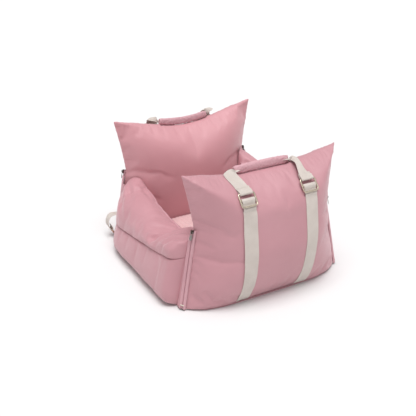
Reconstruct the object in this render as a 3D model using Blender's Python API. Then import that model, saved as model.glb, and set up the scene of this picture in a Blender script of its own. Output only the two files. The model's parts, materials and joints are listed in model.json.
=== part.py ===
"""Soft carrier seat: two padded tote panels and two bolster sides, zipped up around a cushioned base.

Metres, +Z up, +X to the right, +Y to the rear. The origin is the middle of the footprint, on the floor.
`end` is -1 for the front and +1 for the rear; `hand` is -1 for the left and +1 for the right.
"""

import math

import bmesh
import bpy
from mathutils import Vector

# ---- driving dimensions ----
GAP = 0.0005                # clearance between pieces that touch
BASE_TOP = 0.004            # the bottom fabric's thickness
SOFT_FLOOR = BASE_TOP + GAP

EAR_X = 0.250               # half of the width across a panel's top corners
EAR_Z = 0.403
ZIP_FOOT_X = 0.268          # half of the width at the foot of the zips
ZIP_SLOPE = 0.193           # how far the zips lean in, per metre of height
ZIP_HEAD_Z = 0.238
SEAM_Y = 0.239              # the panels' side seams, from the middle, at the floor
LEAN = {-1: 0.062, 1: 0.037}        # both panels lean to the rear, per metre of height
TOP_SAG = {-1: 0.030, 1: 0.045}     # how far a panel's top edge dips between its corners
OUTER_BULGE = {-1: 0.108, 1: 0.0869}
INNER_BULGE = 0.090
SIDE_HINGE_X = 0.304

ARM_INNER_X = 0.166
ARM_CREST_END = 0.240
ARM_CREST_MID = 0.205
SIDE_SEAM_FRONT = 0.155     # height of the seam under the bolster, at its front and rear ends
SIDE_SEAM_REAR = 0.078
SIDE_BULGE = 0.046
FOOT_BULGE = 0.034
BASE_INSET = 0.006          # from the outline of the panels' and sides' feet to the bottom fabric's edge
SEAM_GAP = 0.0022           # between a bolster and the wall under it

COVER_INSET = 0.004         # from a cover's outside to its lining, at the middle of a face
FILL_INSET = 0.0072
EDGE_SHARE = 2.4            # an outline is inset this much more than a face

WEB_WIDTH = 0.038
WEB_THICK = 0.0016
WEB_X = 0.100               # the straps' distance from the middle
BUCKLE_Z = 0.325
BAR = 0.0036                # thickness of a buckle's bars
BAR_PITCH = 0.0185
GRIP_LENGTH = 0.160
GRIP_RADIUS = 0.0095
GRIP_RISE = {-1: 0.010, 1: 0.022}   # height of a grip's ends above the middle of its panel's top edge
GRIP_SINK = {-1: -0.001, 1: 0.012}   # how far a grip's middle hangs below its ends
GRIP_BEHIND = {-1: 0.013, 1: -0.008}     # how far a grip lies inside its panel's top edge
HANDLE_ROUTE = {                    # a handle's webbing on its way to the grip: how far out, and how far up
    -1: [(0.069, -0.0192), (0.049, -0.0072), (0.025, 0.0038)],
    1: [(0.0340, -0.0040), (0.0350, 0.0070), (0.0275, 0.0105)],
}

BOARD = (0.160, 0.145, 0.0030)      # half width, half depth and thickness of the base board
BOARD_Y = 0.003                     # how far behind the middle the board lies
FOAM_TOP = 0.058
CUSHION_TOP = 0.096
CUSHION_Y = (-0.1305, 0.1460)       # its front and rear: it lifts out past the panels' inner faces

ZIP_NORMAL = Vector((0.835, 0.550, 0.0))    # the way a zip faces, for hand and end of +1
TAPE_WIDTH = 0.0100
SLIDER_LENGTH = 0.0120
PULL_LENGTH = 0.0230


# ---- helpers ----
def material(name, colour, roughness, metallic=0.0):
    made = bpy.data.materials.new(name)
    made.use_nodes = True
    shader = made.node_tree.nodes["Principled BSDF"]
    shader.inputs["Base Color"].default_value = (*colour, 1.0)
    shader.inputs["Roughness"].default_value = roughness
    shader.inputs["Metallic"].default_value = metallic
    return made


def solid(name, points, faces, finish):
    """A named object from points and faces, with its normals facing out."""
    mesh = bpy.data.meshes.new(name)
    mesh.from_pydata([tuple(p) for p in points], [], faces)
    form = bmesh.new()
    form.from_mesh(mesh)
    bmesh.ops.recalc_face_normals(form, faces=form.faces)
    if form.calc_volume(signed=True) < 0:
        bmesh.ops.reverse_faces(form, faces=form.faces)
    form.to_mesh(mesh)
    form.free()
    obj = bpy.data.objects.new(name, mesh)
    bpy.context.scene.collection.objects.link(obj)
    mesh.shade_smooth()
    mesh.set_sharp_from_angle(angle=math.radians(50))
    mesh.materials.append(finish)
    return obj


def cut(obj, cutter):
    """Takes the cutter away from obj, and hides the cutter."""
    cutter.hide_render = True
    cutter.display_type = "WIRE"
    modifier = obj.modifiers.new("cut_" + cutter.name, "BOOLEAN")
    modifier.operation = "DIFFERENCE"
    modifier.object = cutter


def block(name, counts, place, finish):
    """A cuboid of grid faces, bent by place(p, q, r), where p, q and r run from 0 to 1."""
    nx, ny, nz = counts
    index, points, faces = {}, [], []

    def corner(i, j, k):
        if (i, j, k) not in index:
            index[i, j, k] = len(points)
            points.append(place(i / nx, j / ny, k / nz))
        return index[i, j, k]

    for i in range(nx):
        for j in range(ny):
            for k in (0, nz):
                faces.append([corner(i, j, k), corner(i + 1, j, k),
                              corner(i + 1, j + 1, k), corner(i, j + 1, k)])
    for i in range(nx):
        for k in range(nz):
            for j in (0, ny):
                faces.append([corner(i, j, k), corner(i + 1, j, k),
                              corner(i + 1, j, k + 1), corner(i, j, k + 1)])
    for j in range(ny):
        for k in range(nz):
            for i in (0, nx):
                faces.append([corner(i, j, k), corner(i, j + 1, k),
                              corner(i, j + 1, k + 1), corner(i, j, k + 1)])
    return solid(name, points, faces, finish)


def box(name, low, high, finish, bevel=0.0):
    """A box between two corners, with rounded edges."""
    size = [b - a for a, b in zip(low, high)]

    def place(p, q, r):
        return [a + s * t for a, s, t in zip(low, size, (p, q, r))]

    made = block(name, (1, 1, 1), place, finish)
    if bevel:
        modifier = made.modifiers.new("round", "BEVEL")
        modifier.width = bevel
        modifier.segments = 2
    return made


def ribbon(name, sections, thick, finish):
    """Webbing through sections of (middle, side, normal, width), with the same split on both of its faces."""
    points, faces = [], []
    for middle, side, normal, width in sections:
        for across, out in ((-1, -1), (1, -1), (1, 1), (-1, 1)):
            points.append(middle + side * (across * width / 2) + normal * (out * thick / 2))
    for i in range(len(sections) - 1):
        for j in range(4):
            a, b = 4 * i + j, 4 * i + (j + 1) % 4
            if j == 2:
                faces += [[a, b, a + 4], [b, b + 4, a + 4]]
            else:
                faces += [[a, b, b + 4], [a, b + 4, a + 4]]
    faces.append([0, 1, 2, 3])
    last = 4 * len(sections) - 4
    faces.append([last, last + 1, last + 2, last + 3])
    return solid(name, points, faces, finish)


def along(points, side, width):
    """Ribbon sections through points, of one width, whose side is always the same."""
    sections = []
    for i, point in enumerate(points):
        before, after = points[max(i - 1, 0)], points[min(i + 1, len(points) - 1)]
        sections.append((point, side, side.cross((after - before).normalized()), width))
    return sections


def smooth_curve(points, steps):
    """Points along a Catmull-Rom curve through points, with that many steps in each stretch."""
    found = []
    for i in range(len(points) - 1):
        a, b = points[max(i - 1, 0)], points[i]
        c, d = points[i + 1], points[min(i + 2, len(points) - 1)]
        for n in range(steps):
            t = n / steps
            found.append(0.5 * (2 * b + (c - a) * t + (2 * a - 5 * b + 4 * c - d) * t ** 2
                                + (3 * b - a - 3 * c + d) * t ** 3))
    return found + [points[-1]]


def tube(name, line, radius, finish, sides=12, bore=0.0):
    """A round bar, or a pipe if it has a bore, along a line in the X direction."""
    rings = [radius] if not bore else [radius, bore]
    points, faces = [], []
    for r in rings:
        for centre in line:
            for k in range(sides):
                angle = 2 * math.pi * k / sides
                points.append(centre + Vector((0, r * math.cos(angle), r * math.sin(angle))))
    count = len(line)
    for ring in range(len(rings)):
        start = ring * count * sides
        for i in range(count - 1):
            for k in range(sides):
                a, b = start + i * sides + k, start + i * sides + (k + 1) % sides
                faces.append([a, b, b + sides, a + sides])
    for row in (0, count - 1):
        if bore:
            for k in range(sides):
                a, b = row * sides + k, row * sides + (k + 1) % sides
                faces.append([a, b, b + count * sides, a + count * sides])
        else:
            faces.append([row * sides + k for k in range(sides)])
    return solid(name, points, faces, finish)


def pivot(name, place, nodes):
    """An empty on a joint's axis, which carries the nodes that move with the joint."""
    empty = bpy.data.objects.new(name, None)
    empty.location = place
    empty.empty_display_size = 0.03
    bpy.context.scene.collection.objects.link(empty)
    bpy.context.view_layer.update()
    for node in nodes:
        node = bpy.data.objects[node]
        node.parent = empty
        node.matrix_parent_inverse = empty.matrix_world.inverted()
    return empty


def end_name(end):
    return "front" if end < 0 else "rear"


def hand_name(hand):
    return "left" if hand < 0 else "right"


# ---- the padded panels' form ----
def seam_y(end, z):
    return end * SEAM_Y + LEAN[end] * z


def zip_x(z):
    return ZIP_FOOT_X - ZIP_SLOPE * z


def edge_x(z):
    """Half of a panel's width at a height: along the zips, then out to the pointed corners."""
    if z <= ZIP_HEAD_Z:
        return zip_x(z)
    share = min((z - ZIP_HEAD_Z) / (EAR_Z - ZIP_HEAD_Z), 1.0)
    return zip_x(ZIP_HEAD_Z) + (EAR_X - zip_x(ZIP_HEAD_Z)) * share ** 1.3


def across_share(u, v=1.0):
    """How far out a face is, across a panel: rounder at mid height than at its boxed foot."""
    return 1 - abs(u) ** (3 + 3 * max(1 - v / 0.4, 0.0))


def outer_share(v):
    """An outer face's share of its depth at a height v: full below, then a slope up to the top seam."""
    if v > 0.6:
        return max(1 - ((v - 0.6) / 0.4) ** 4.5, 0.0) ** 1.1
    return 1 - 0.52 * ((0.6 - v) / 0.6) ** 2.2


def inner_share(v):
    if v > 0.55:
        return max(1 - ((v - 0.55) / 0.45) ** 3, 0.0) ** 0.7
    return 1 - 0.12 * ((0.55 - v) / 0.55) ** 2


def panel_place(end, u, v, face, inset=0.0):
    """A point on a panel: u from -1 to 1 across, v from 0 to 1 up, face +1 outside and -1 inside."""
    foot = SOFT_FLOOR + inset
    top = EAR_Z - TOP_SAG[end] * (1 - u * u) - inset * EDGE_SHARE * (1 + 1.2 * u ** 6)
    z = foot + v * (top - foot)
    x = u * (edge_x(z) - inset * EDGE_SHARE * (1 + 1.2 * v ** 6))
    if face > 0:
        depth = (OUTER_BULGE[end] - inset) * outer_share(v) * across_share(u, v)
    else:
        depth = (INNER_BULGE - inset) * inner_share(v) * across_share(u)
    y = seam_y(end, z) + end * face * depth
    return Vector((x, y, z))


def panel_at(end, x, v, face):
    """The panel's surface where a line at a constant x crosses row v."""
    u = x / EAR_X
    for _ in range(6):
        u = x / edge_x(panel_place(end, u, v, face).z)
    return panel_place(end, u, v, face)


def inner_face(end, x, z):
    """How far from the middle a panel's inner face is, at a place beside it, or None past its edge."""
    if z < SOFT_FLOOR or abs(x) >= edge_x(z):
        return None
    u = abs(x) / edge_x(z)
    top = EAR_Z - TOP_SAG[end] * (1 - u * u)
    v = (z - SOFT_FLOOR) / (top - SOFT_FLOOR)
    if v >= 1:
        return None
    return abs(seam_y(end, z)) - INNER_BULGE * inner_share(v) * across_share(u)


def swing_limit(end, x, z):
    """How far from the middle a side may reach at x, z without touching a panel as it swings out."""
    reach = math.hypot(SIDE_HINGE_X - abs(x), z - BASE_TOP)
    start = math.atan2(z - BASE_TOP, SIDE_HINGE_X - abs(x))
    limit = SEAM_Y + min(LEAN[end] * end * ZIP_HEAD_Z, 0.0)
    for step in range(16):
        angle = start + (math.pi - start) * step / 15
        found = inner_face(end, SIDE_HINGE_X - reach * math.cos(angle), BASE_TOP + reach * math.sin(angle))
        if found is not None:
            limit = min(limit, found)
    return limit - 0.0022


PANEL_COLUMNS = 14
PANEL_ROWS = [0, 0.1, 0.22, 0.36, 0.5, 0.62, 0.72, 0.8, 0.87, 0.93, 0.97, 1.0]


def pillow(name, end, inset, finish):
    """A closed pillow with a flat foot, pointed top corners and knife edges at its sides and top."""
    index, points, faces = {}, [], []
    last = len(PANEL_ROWS) - 1

    def corner(face, row, column):
        if column in (0, PANEL_COLUMNS) or row == last:
            face = 1
        if (face, row, column) not in index:
            index[face, row, column] = len(points)
            u = 2 * column / PANEL_COLUMNS - 1
            points.append(panel_place(end, math.sin(u * math.pi / 2) * 0.35 + u * 0.65,
                                      PANEL_ROWS[row], face, inset))
        return index[face, row, column]

    def add(corners):
        ring = list(dict.fromkeys(corners))
        faces.append(ring)

    for face in (1, -1):
        for row in range(last):
            for column in range(PANEL_COLUMNS):
                add([corner(face, row, column), corner(face, row, column + 1),
                     corner(face, row + 1, column + 1), corner(face, row + 1, column)])
    for column in range(PANEL_COLUMNS):
        add([corner(1, 0, column), corner(1, 0, column + 1),
             corner(-1, 0, column + 1), corner(-1, 0, column)])
    return solid(name, points, faces, finish)


# ---- the bolster sides' form ----
def side_seam_z(s):
    """Height of the seam under a bolster, where s runs from -1 at the front to 1 at the rear."""
    return SIDE_SEAM_FRONT + (SIDE_SEAM_REAR - SIDE_SEAM_FRONT) * (s + 1) / 2


def side_outer_x(s, z, bulge):
    return zip_x(z) + bulge * (1 - abs(s) ** 2.4)


def side_y(s, x, z, inset):
    """The place along a side for s, between the two panels."""
    end = -1 if s < 0 else 1
    return s * (swing_limit(end, x, z) - inset)


def arm_place(hand, p, q, r, inset=0.0):
    """A point in a bolster: p from inside to outside, q from front to rear, r from seam to top."""
    s = 2 * q - 1
    low = side_seam_z(s) + SEAM_GAP
    crest = ARM_CREST_MID + (ARM_CREST_END - ARM_CREST_MID) * s * s
    c = abs(2 * p ** 1.35 - 1)
    top = low + (crest - low) * (0.30 + 0.70 * (1 - c ** 2.6) ** 0.5) - inset
    low += inset
    z = low + r * (top - low)
    share = min(max((z - side_seam_z(s)) / (crest - side_seam_z(s)), 0.0), 1.0)
    puff = math.sin(math.pi * share * 0.85 + 0.15)
    inner = ARM_INNER_X + 0.002 + inset
    outer = side_outer_x(s, z, SIDE_BULGE * (0.62 + 0.38 * puff)) - inset
    x = inner + p * (outer - inner)
    return Vector((hand * x, side_y(s, x, z, inset), z))


def wall_place(hand, p, q, r, inset=0.0):
    """A point in a lower side wall: p from inside to outside, q from front to rear, r from foot to seam."""
    s = 2 * q - 1
    foot = SOFT_FLOOR + inset
    z = foot + r * (side_seam_z(s) - inset - foot)
    roundness = 0.80 + 0.20 * math.sin(math.pi * (0.12 + 0.76 * r))
    outer = side_outer_x(s, z, SIDE_BULGE * roundness) - inset - 0.006 * (1 - r) ** 6
    inner = ARM_INNER_X + 0.002 + inset
    x = inner + p * (outer - inner)
    return Vector((hand * x, side_y(s, x, z, inset), z))


def stuffed(name, counts, place, slit_low, slit_high, finish, stuffing):
    """A fabric cover with a stuffing slit through its lowest face, and the stuffing inside it."""
    def inset(depth):
        return lambda p, q, r: place(p, q, r, depth)

    cover = block(name + "_cover", counts, inset(0.0), finish)
    cut(cover, block(name + "_lining", counts, inset(COVER_INSET), finish))
    cut(cover, box(name + "_slit", slit_low, slit_high, finish))
    block(name + "_filling", counts, inset(FILL_INSET), stuffing)


# ---- straps, buckles and handles ----
def tangent_frame(end):
    """The middle of a buckle on a panel's outer face, with the way up the face and the way out of it."""
    rows = [BUCKLE_Z - 0.02, BUCKLE_Z + 0.02]
    top = EAR_Z - TOP_SAG[end]
    low, high = [panel_at(end, WEB_X, (z - SOFT_FLOOR) / (top - SOFT_FLOOR), 1) for z in rows]
    up = Vector((0, high.y - low.y, high.z - low.z)).normalized()
    out = Vector((0, end * up.z, -end * up.y))
    middle = panel_at(end, WEB_X, (BUCKLE_Z - SOFT_FLOOR) / (top - SOFT_FLOOR), 1)
    return Vector((0, middle.y, middle.z)) + out * 0.0012, up, out


def bar_centre(end, row):
    """The centre line of a buckle's bar: row 1 is the top one, 0 the middle and -1 the bottom."""
    middle, up, out = tangent_frame(end)
    return middle + up * (row * BAR_PITCH) + out * 0.0066


def buckle(end, hand, finish):
    """A three-bar slide: a rounded frame with a middle bar."""
    name = f"{end_name(end)}_buckle_{hand_name(hand)}"
    _, up, out = tangent_frame(end)
    centre = bar_centre(end, 0) + Vector((hand * WEB_X, 0, 0))
    side = Vector((1, 0, 0))
    half_w, half_h, half_t = WEB_WIDTH / 2 + 0.0068, BAR_PITCH + BAR / 2, BAR / 2

    def plate(label, x0, x1, s0, s1, deep):
        def place(p, q, r):
            in_plane = side * (x0 + p * (x1 - x0)) + up * (s0 + q * (s1 - s0))
            return centre + in_plane + out * ((2 * r - 1) * deep)
        return block(label, (1, 1, 1), place, finish)

    frame = plate(name, -half_w, half_w, -half_h, half_h, half_t)
    soften = frame.modifiers.new("round", "BEVEL")
    soften.width = 0.0012
    soften.segments = 2
    slot_w = WEB_WIDTH / 2 + 0.0012
    for row in (1, -1):
        inside, outside = row * BAR / 2, row * (BAR_PITCH - BAR / 2)
        cut(frame, plate(f"{name}_slot_{row + 1}", -slot_w, slot_w,
                         min(inside, outside), max(inside, outside), 0.02))


def face_strap(end, hand, finish):
    """The strap from the foot of a panel up its outer face, and once round the buckle's middle bar."""
    middle, up, out = tangent_frame(end)
    side = Vector((1, 0, 0))
    points = []
    for row in PANEL_ROWS[:-1]:
        place = panel_at(end, WEB_X, row, 1)
        if place.z < BUCKLE_Z - 0.030:
            points.append(Vector((0, place.y + end * 0.0058, place.z)))
    lower, upper = BAR_PITCH * 0.52, BAR_PITCH * 0.42
    loop = [(-BAR_PITCH - 0.006, 0.0012), (-lower - 0.004, 0.0014), (-lower + 0.0005, 0.0050),
            (-0.0032, 0.0100), (0.0032, 0.0100), (upper, 0.0058), (upper + 0.0035, 0.0012)]
    points += [middle + up * s + out * n for s, n in loop]
    shift = Vector((hand * WEB_X, 0, 0))
    ribbon(f"{end_name(end)}_strap_{hand_name(hand)}", along([p + shift for p in points], side, WEB_WIDTH),
           WEB_THICK, finish)


def grip_line(end, t):
    """The middle of a grip's section at t, from -1 at its left end to 1 at its right."""
    top = EAR_Z - TOP_SAG[end]
    return Vector((t * GRIP_LENGTH / 2, seam_y(end, top) - end * GRIP_BEHIND[end],
                   top + GRIP_RISE[end] - GRIP_SINK[end] * (1 - t * t)))


def handle_webbing(end, finish):
    """A handle's webbing: from an eye round a buckle's top bar, over the edge, through the grip, and back."""
    pin = bar_centre(end, 1)
    _, up, out = tangent_frame(end)
    side = Vector((1, 0, 0))
    radius = BAR * 0.72 + 0.0005 + WEB_THICK / 2
    points = []
    for angle in (-50, -95, -140, -185, -230, -270):
        turn = math.radians(angle)
        points.append(pin + (up * math.cos(turn) + out * math.sin(turn)) * radius)
    arrive = grip_line(end, 1)
    points.append(pin + up * 0.014 + out * 0.0070)
    points += [Vector((0, arrive.y + end * away, arrive.z + rise)) for away, rise in HANDLE_ROUTE[end]]
    shift = Vector((WEB_X, 0, 0))
    half = along([p + shift for p in points], side, WEB_WIDTH)
    inward = Vector((0, -end, 0))
    flat = Vector((0, 0, 1))
    turns = [(0.0955, 0.50, 30, 0.030), (0.0900, 0.85, 58, 0.020), (0.0830, 1.0, 80, 0.0110)]
    for x, share, angle, width in turns:
        turn = math.radians(angle)
        middle = points[-1].lerp(arrive, share)
        middle.x = x
        across = side * math.cos(turn) + inward * math.sin(turn)
        half.append((middle, across, half[9][2] if half[9][2].z > 0 else -flat, width))
    for t in (0.97, 0.66, 0.33, 0.0):
        half.append((grip_line(end, t), inward, -flat, 0.0085))
    flip = -1 if half[9][2].z * half[-1][2].z < 0 else 1
    half = half[:-4] + [(m, w, n * flip, b) for m, w, n, b in half[-4:]]
    other = [(Vector((-m.x, m.y, m.z)), Vector((-w.x, w.y, w.z)), Vector((-n.x, n.y, n.z)), b)
             for m, w, n, b in reversed(half[:-1])]
    ribbon(f"{end_name(end)}_handle_webbing", half + other, WEB_THICK, finish)


def grip(end, finish, padding_finish):
    """The fabric sleeve round a handle's grip, and the foam tube inside it."""
    line = [grip_line(end, step / 4 - 1) for step in range(9)]
    tube(f"{end_name(end)}_grip_sleeve", line, GRIP_RADIUS, finish, 12, GRIP_RADIUS - 0.0014)
    inner = [p.lerp(line[4], 0.02) for p in line]
    tube(f"{end_name(end)}_grip_padding", inner, GRIP_RADIUS - 0.0022, padding_finish, 12, 0.0052)


# ---- zips ----
def zip_frame(end, hand):
    """A zip's foot, the way up it, the way across it to the panel, and the way out of it."""
    foot = Vector((hand * zip_x(0.010), seam_y(end, 0.010), 0.010))
    head = Vector((hand * zip_x(ZIP_HEAD_Z), seam_y(end, ZIP_HEAD_Z), ZIP_HEAD_Z))
    up = (head - foot).normalized()
    out = Vector((hand * ZIP_NORMAL.x, end * ZIP_NORMAL.y, 0))
    out = (out - up * out.dot(up)).normalized()
    across = up.cross(out)
    if across.y * end < 0:
        across = -across
    return foot + out * 0.0036, up, across, out, (head - foot).length


def zip_half(end, hand, way, finish):
    """One half of a zip: tape, folded lip and coil. way is +1 on the panel and -1 on the side."""
    foot, up, across, out, length = zip_frame(end, hand)
    if way < 0:
        length -= 0.016
    profile = [(0.0003, 0.0), (TAPE_WIDTH, 0.0), (TAPE_WIDTH, 0.0026), (0.0062, 0.0026),
               (0.0056, 0.0012), (0.0030, 0.0012), (0.0026, 0.0024), (0.0003, 0.0024)]
    points = []
    for height in (0.0, length):
        points += [foot + up * height + across * (way * w) + out * o for w, o in profile]
    n = len(profile)
    faces = [[k, (k + 1) % n, (k + 1) % n + n, k + n] for k in range(n)]
    faces += [list(range(n)), list(range(n, 2 * n))]
    owner = "panel" if way > 0 else "side"
    solid(f"zip_{end_name(end)}_{hand_name(hand)}_{owner}_half", points, faces, finish)


def slider_pivot(end, hand):
    foot, up, _, out, length = zip_frame(end, hand)
    return foot + up * (length - 0.0026) + out * 0.0067


def slider(end, hand, finish):
    """A zip slider: a tapered plate over the coil, with a raised bridge that holds the pull."""
    foot, up, across, out, length = zip_frame(end, hand)
    start = foot + up * (length - SLIDER_LENGTH + 0.0015)
    outline = [(-0.0030, 0.0), (0.0030, 0.0), (0.0048, 0.0085), (0.0035, 0.0120), (-0.0035, 0.0120),
               (-0.0048, 0.0085)]
    points = []
    for o in (0.0031, 0.0048):
        points += [start + across * w + up * s + out * o for w, s in outline]
    n = len(outline)
    faces = [[k, (k + 1) % n, (k + 1) % n + n, k + n] for k in range(n)]
    faces += [list(range(n)), list(range(n, 2 * n))]
    name = f"zip_slider_{end_name(end)}_{hand_name(hand)}"
    body = solid(name, points, faces, finish)

    def part(label, low, high):
        def place(p, q, r):
            w, s, o = [a + (b - a) * t for a, b, t in zip(low, high, (p, q, r))]
            return start + across * w + up * s + out * o
        return block(label, (1, 1, 1), place, finish)

    bridge = part(name + "_bridge", (-0.0012, 0.0030, 0.0040), (0.0012, 0.0112, 0.0090))
    bridge.hide_render = True
    bridge.display_type = "WIRE"
    join = body.modifiers.new("bridge", "BOOLEAN")
    join.operation = "UNION"
    join.object = bridge
    cut(body, part(name + "_eye", (-0.0030, 0.0048, 0.0054), (0.0030, 0.0096, 0.0080)))


def pull(end, hand, finish):
    """A zip pull: a flat tab with an eye that hangs on the slider's bridge."""
    _, up, across, out, _ = zip_frame(end, hand)
    pivot = slider_pivot(end, hand)
    thick = 0.0012
    outline = [(-0.0030, 0.0007), (0.0030, 0.0007), (0.0034, -0.0060), (0.0040, -0.0120),
               (0.0036, -PULL_LENGTH), (-0.0036, -PULL_LENGTH), (-0.0040, -0.0120), (-0.0034, -0.0060)]
    points = []
    for o in (-thick / 2, thick / 2):
        points += [pivot + across * w + up * s + out * o for w, s in outline]
    n = len(outline)
    faces = [[k, (k + 1) % n, (k + 1) % n + n, k + n] for k in range(n)]
    faces += [list(range(n)), list(range(n, 2 * n))]
    name = f"zip_pull_{end_name(end)}_{hand_name(hand)}"
    tab = solid(name, points, faces, finish)

    def place(p, q, r):
        in_plane = across * ((2 * p - 1) * 0.0018) + up * (-0.0125 + q * 0.0118)
        return pivot + in_plane + out * ((2 * r - 1) * 0.004)

    cut(tab, block(name + "_eye", (1, 1, 1), place, finish))


# ---- rear belt loops ----
LOOP_Y = 0.2715
LOOP_WIDTH = 0.025
LOOP_ROUTE = [(0.2640, 0.082), (0.272, 0.080), (0.281, 0.074), (0.287, 0.062), (0.288, 0.048), (0.284, 0.036)]
RING_PIN = (0.2780, 0.0275)
RING_LENGTH = 0.011
TAB_ROUTE = [(0.252, 0.0100), (0.260, 0.0098), (0.2665, 0.0105)]


def belt_loop(hand, finish, tab_finish, metal):
    """A webbing loop from the rear panel's edge, its metal ring, and the tab that holds the ring."""
    side = Vector((0, 1, 0))
    route = [Vector((hand * x, LOOP_Y, z)) for x, z in LOOP_ROUTE]
    top_bar = Vector((hand * RING_PIN[0], LOOP_Y, RING_PIN[1]))
    low_bar = top_bar + Vector((-hand * 0.0065, 0, -RING_LENGTH))
    curve = smooth_curve(route, 3)
    wrap = []
    radius = 0.0028
    for angle in (60, 10, -40, -90, -140, -190):
        turn = math.radians(angle)
        wrap.append(top_bar + Vector((hand * radius * math.cos(turn), 0, radius * math.sin(turn))))
    ribbon(f"belt_loop_{hand_name(hand)}", along(curve + wrap, side, LOOP_WIDTH), 0.0014, finish)

    half_w = LOOP_WIDTH / 2 + 0.0040
    lengthways = (top_bar - low_bar).normalized()
    facing = side.cross(lengthways)
    centre = (top_bar + low_bar) / 2
    half_h = (top_bar - low_bar).length / 2 + 0.0013

    def plate(label, half_y, half_s, deep):
        def place(p, q, r):
            in_plane = side * ((2 * p - 1) * half_y) + lengthways * ((2 * q - 1) * half_s)
            return centre + in_plane + facing * ((2 * r - 1) * deep)
        return block(label, (1, 1, 1), place, metal)

    name = f"belt_ring_{hand_name(hand)}"
    ring = plate(name, half_w, half_h, 0.0013)
    cut(ring, plate(name + "_hole", LOOP_WIDTH / 2 + 0.0012, half_h - 0.0026, 0.01))

    tab = []
    for angle in (285, 325, 365, 405, 445):
        turn = math.radians(angle)
        tab.append(low_bar + Vector((hand * radius * math.cos(turn), 0, radius * math.sin(turn))))
    tab = [Vector((hand * x, LOOP_Y, z)) for x, z in TAB_ROUTE] + tab
    ribbon(f"belt_tab_{hand_name(hand)}", along(tab, side, LOOP_WIDTH), 0.0014, tab_finish)


# ---- the base ----
def base(bottom, board_finish, foam_finish, lining_finish, plush, stuffing):
    """The bottom fabric, its stiff board, the seat foam under its lining, and the loose cushion."""
    def sheet(p, q, r):
        u, s = 2 * p - 1, 2 * q - 1
        end = -1 if s < 0 else 1
        reach_x = ZIP_FOOT_X + FOOT_BULGE * across_share(s) - BASE_INSET
        reach_y = SEAM_Y + OUTER_BULGE[end] * outer_share(0) * across_share(u, 0) - BASE_INSET
        return Vector((u * reach_x, s * reach_y, r * BASE_TOP))

    block("base_panel", (10, 12, 1), sheet, bottom)
    half_x, half_y, thick = BOARD
    foam_x, foam_y = half_x - 0.003, half_y - 0.003

    def layer(name, reach_x, reach_y, low, high, finish, round_edge=0.0):
        corner = (reach_x, reach_y + BOARD_Y, high)
        return box(name, (-reach_x, BOARD_Y - reach_y, low), corner, finish, round_edge)

    low = SOFT_FLOOR
    layer("base_board", half_x, half_y, low, low + thick, board_finish, 0.0008)
    low += thick + GAP
    layer("base_foam", foam_x, foam_y, low, FOAM_TOP - 0.0025, foam_finish, 0.004)
    lining = layer("base_lining", half_x, half_y, low, FOAM_TOP, lining_finish)
    inside = layer("base_lining_inside", foam_x + GAP, foam_y + GAP, low - 0.01, FOAM_TOP - 0.0020, lining_finish)
    cut(lining, inside)

    middle_y, deep = sum(CUSHION_Y) / 2, (CUSHION_Y[1] - CUSHION_Y[0]) / 2

    def cushion(p, q, r, inset=0.0):
        x, y = 2 * p - 1, 2 * q - 1
        half = 1 - 0.10 * abs(x * y) ** 3
        crown = (1 - x ** 4) ** 0.6 * (1 - y ** 4) ** 0.6
        thick_here = (CUSHION_TOP - FOAM_TOP - GAP) * (0.48 + 0.52 * crown) - 2 * inset
        return Vector((x * half * (half_x - 0.002 - inset), middle_y + y * half * (deep - inset),
                       FOAM_TOP + GAP + inset + r * thick_here))

    stuffed("cushion", (8, 8, 2), cushion, (-0.05, -0.012, FOAM_TOP - 0.01), (0.05, 0.012, FOAM_TOP + 0.010),
            plush, stuffing)


def fold_y(end):
    """Where a panel folds out from the base: the outer edge of its foot."""
    return end * (SEAM_Y + OUTER_BULGE[end] * outer_share(0))


def hang_end(end):
    """The pivots of a panel, its handle and its zips' sliders and pulls."""
    name = end_name(end)
    hands = [hand_name(hand) for hand in (-1, 1)]
    nodes = [f"{name}_panel_cover", f"{name}_panel_filling"]
    nodes += [f"{name}_{kind}_{hand}" for kind in ("strap", "buckle") for hand in hands]
    nodes += [f"zip_{name}_{hand}_panel_half" for hand in hands]
    if end > 0:
        nodes += [f"belt_{kind}_{hand}" for kind in ("loop", "ring", "tab") for hand in hands]
    panel = pivot(f"{name}_panel_fold", (0, fold_y(end), BASE_TOP), nodes)
    handle = pivot(f"{name}_handle_pin", bar_centre(end, 1),
                   [f"{name}_handle_webbing", f"{name}_grip_sleeve", f"{name}_grip_padding"])
    carried = [handle]
    for hand in (-1, 1):
        corner = f"{name}_{hand_name(hand)}"
        place = slider_pivot(end, hand)
        travel = pivot(f"slider_travel_{corner}", place, [f"zip_slider_{corner}"])
        swing = pivot(f"pull_swing_{corner}", place, [f"zip_pull_{corner}"])
        swing.parent = travel
        swing.matrix_parent_inverse = travel.matrix_world.inverted()
        carried.append(travel)
    for empty in carried:
        empty.parent = panel
        empty.matrix_parent_inverse = panel.matrix_world.inverted()


def hang_side(hand):
    side = hand_name(hand)
    nodes = [f"{side}_{part}_{layer}" for part in ("arm", "wall") for layer in ("cover", "filling")]
    nodes += [f"zip_{end_name(end)}_{side}_side_half" for end in (-1, 1)]
    pivot(f"{side}_side_fold", (hand * SIDE_HINGE_X, 0, BASE_TOP), nodes)


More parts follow.
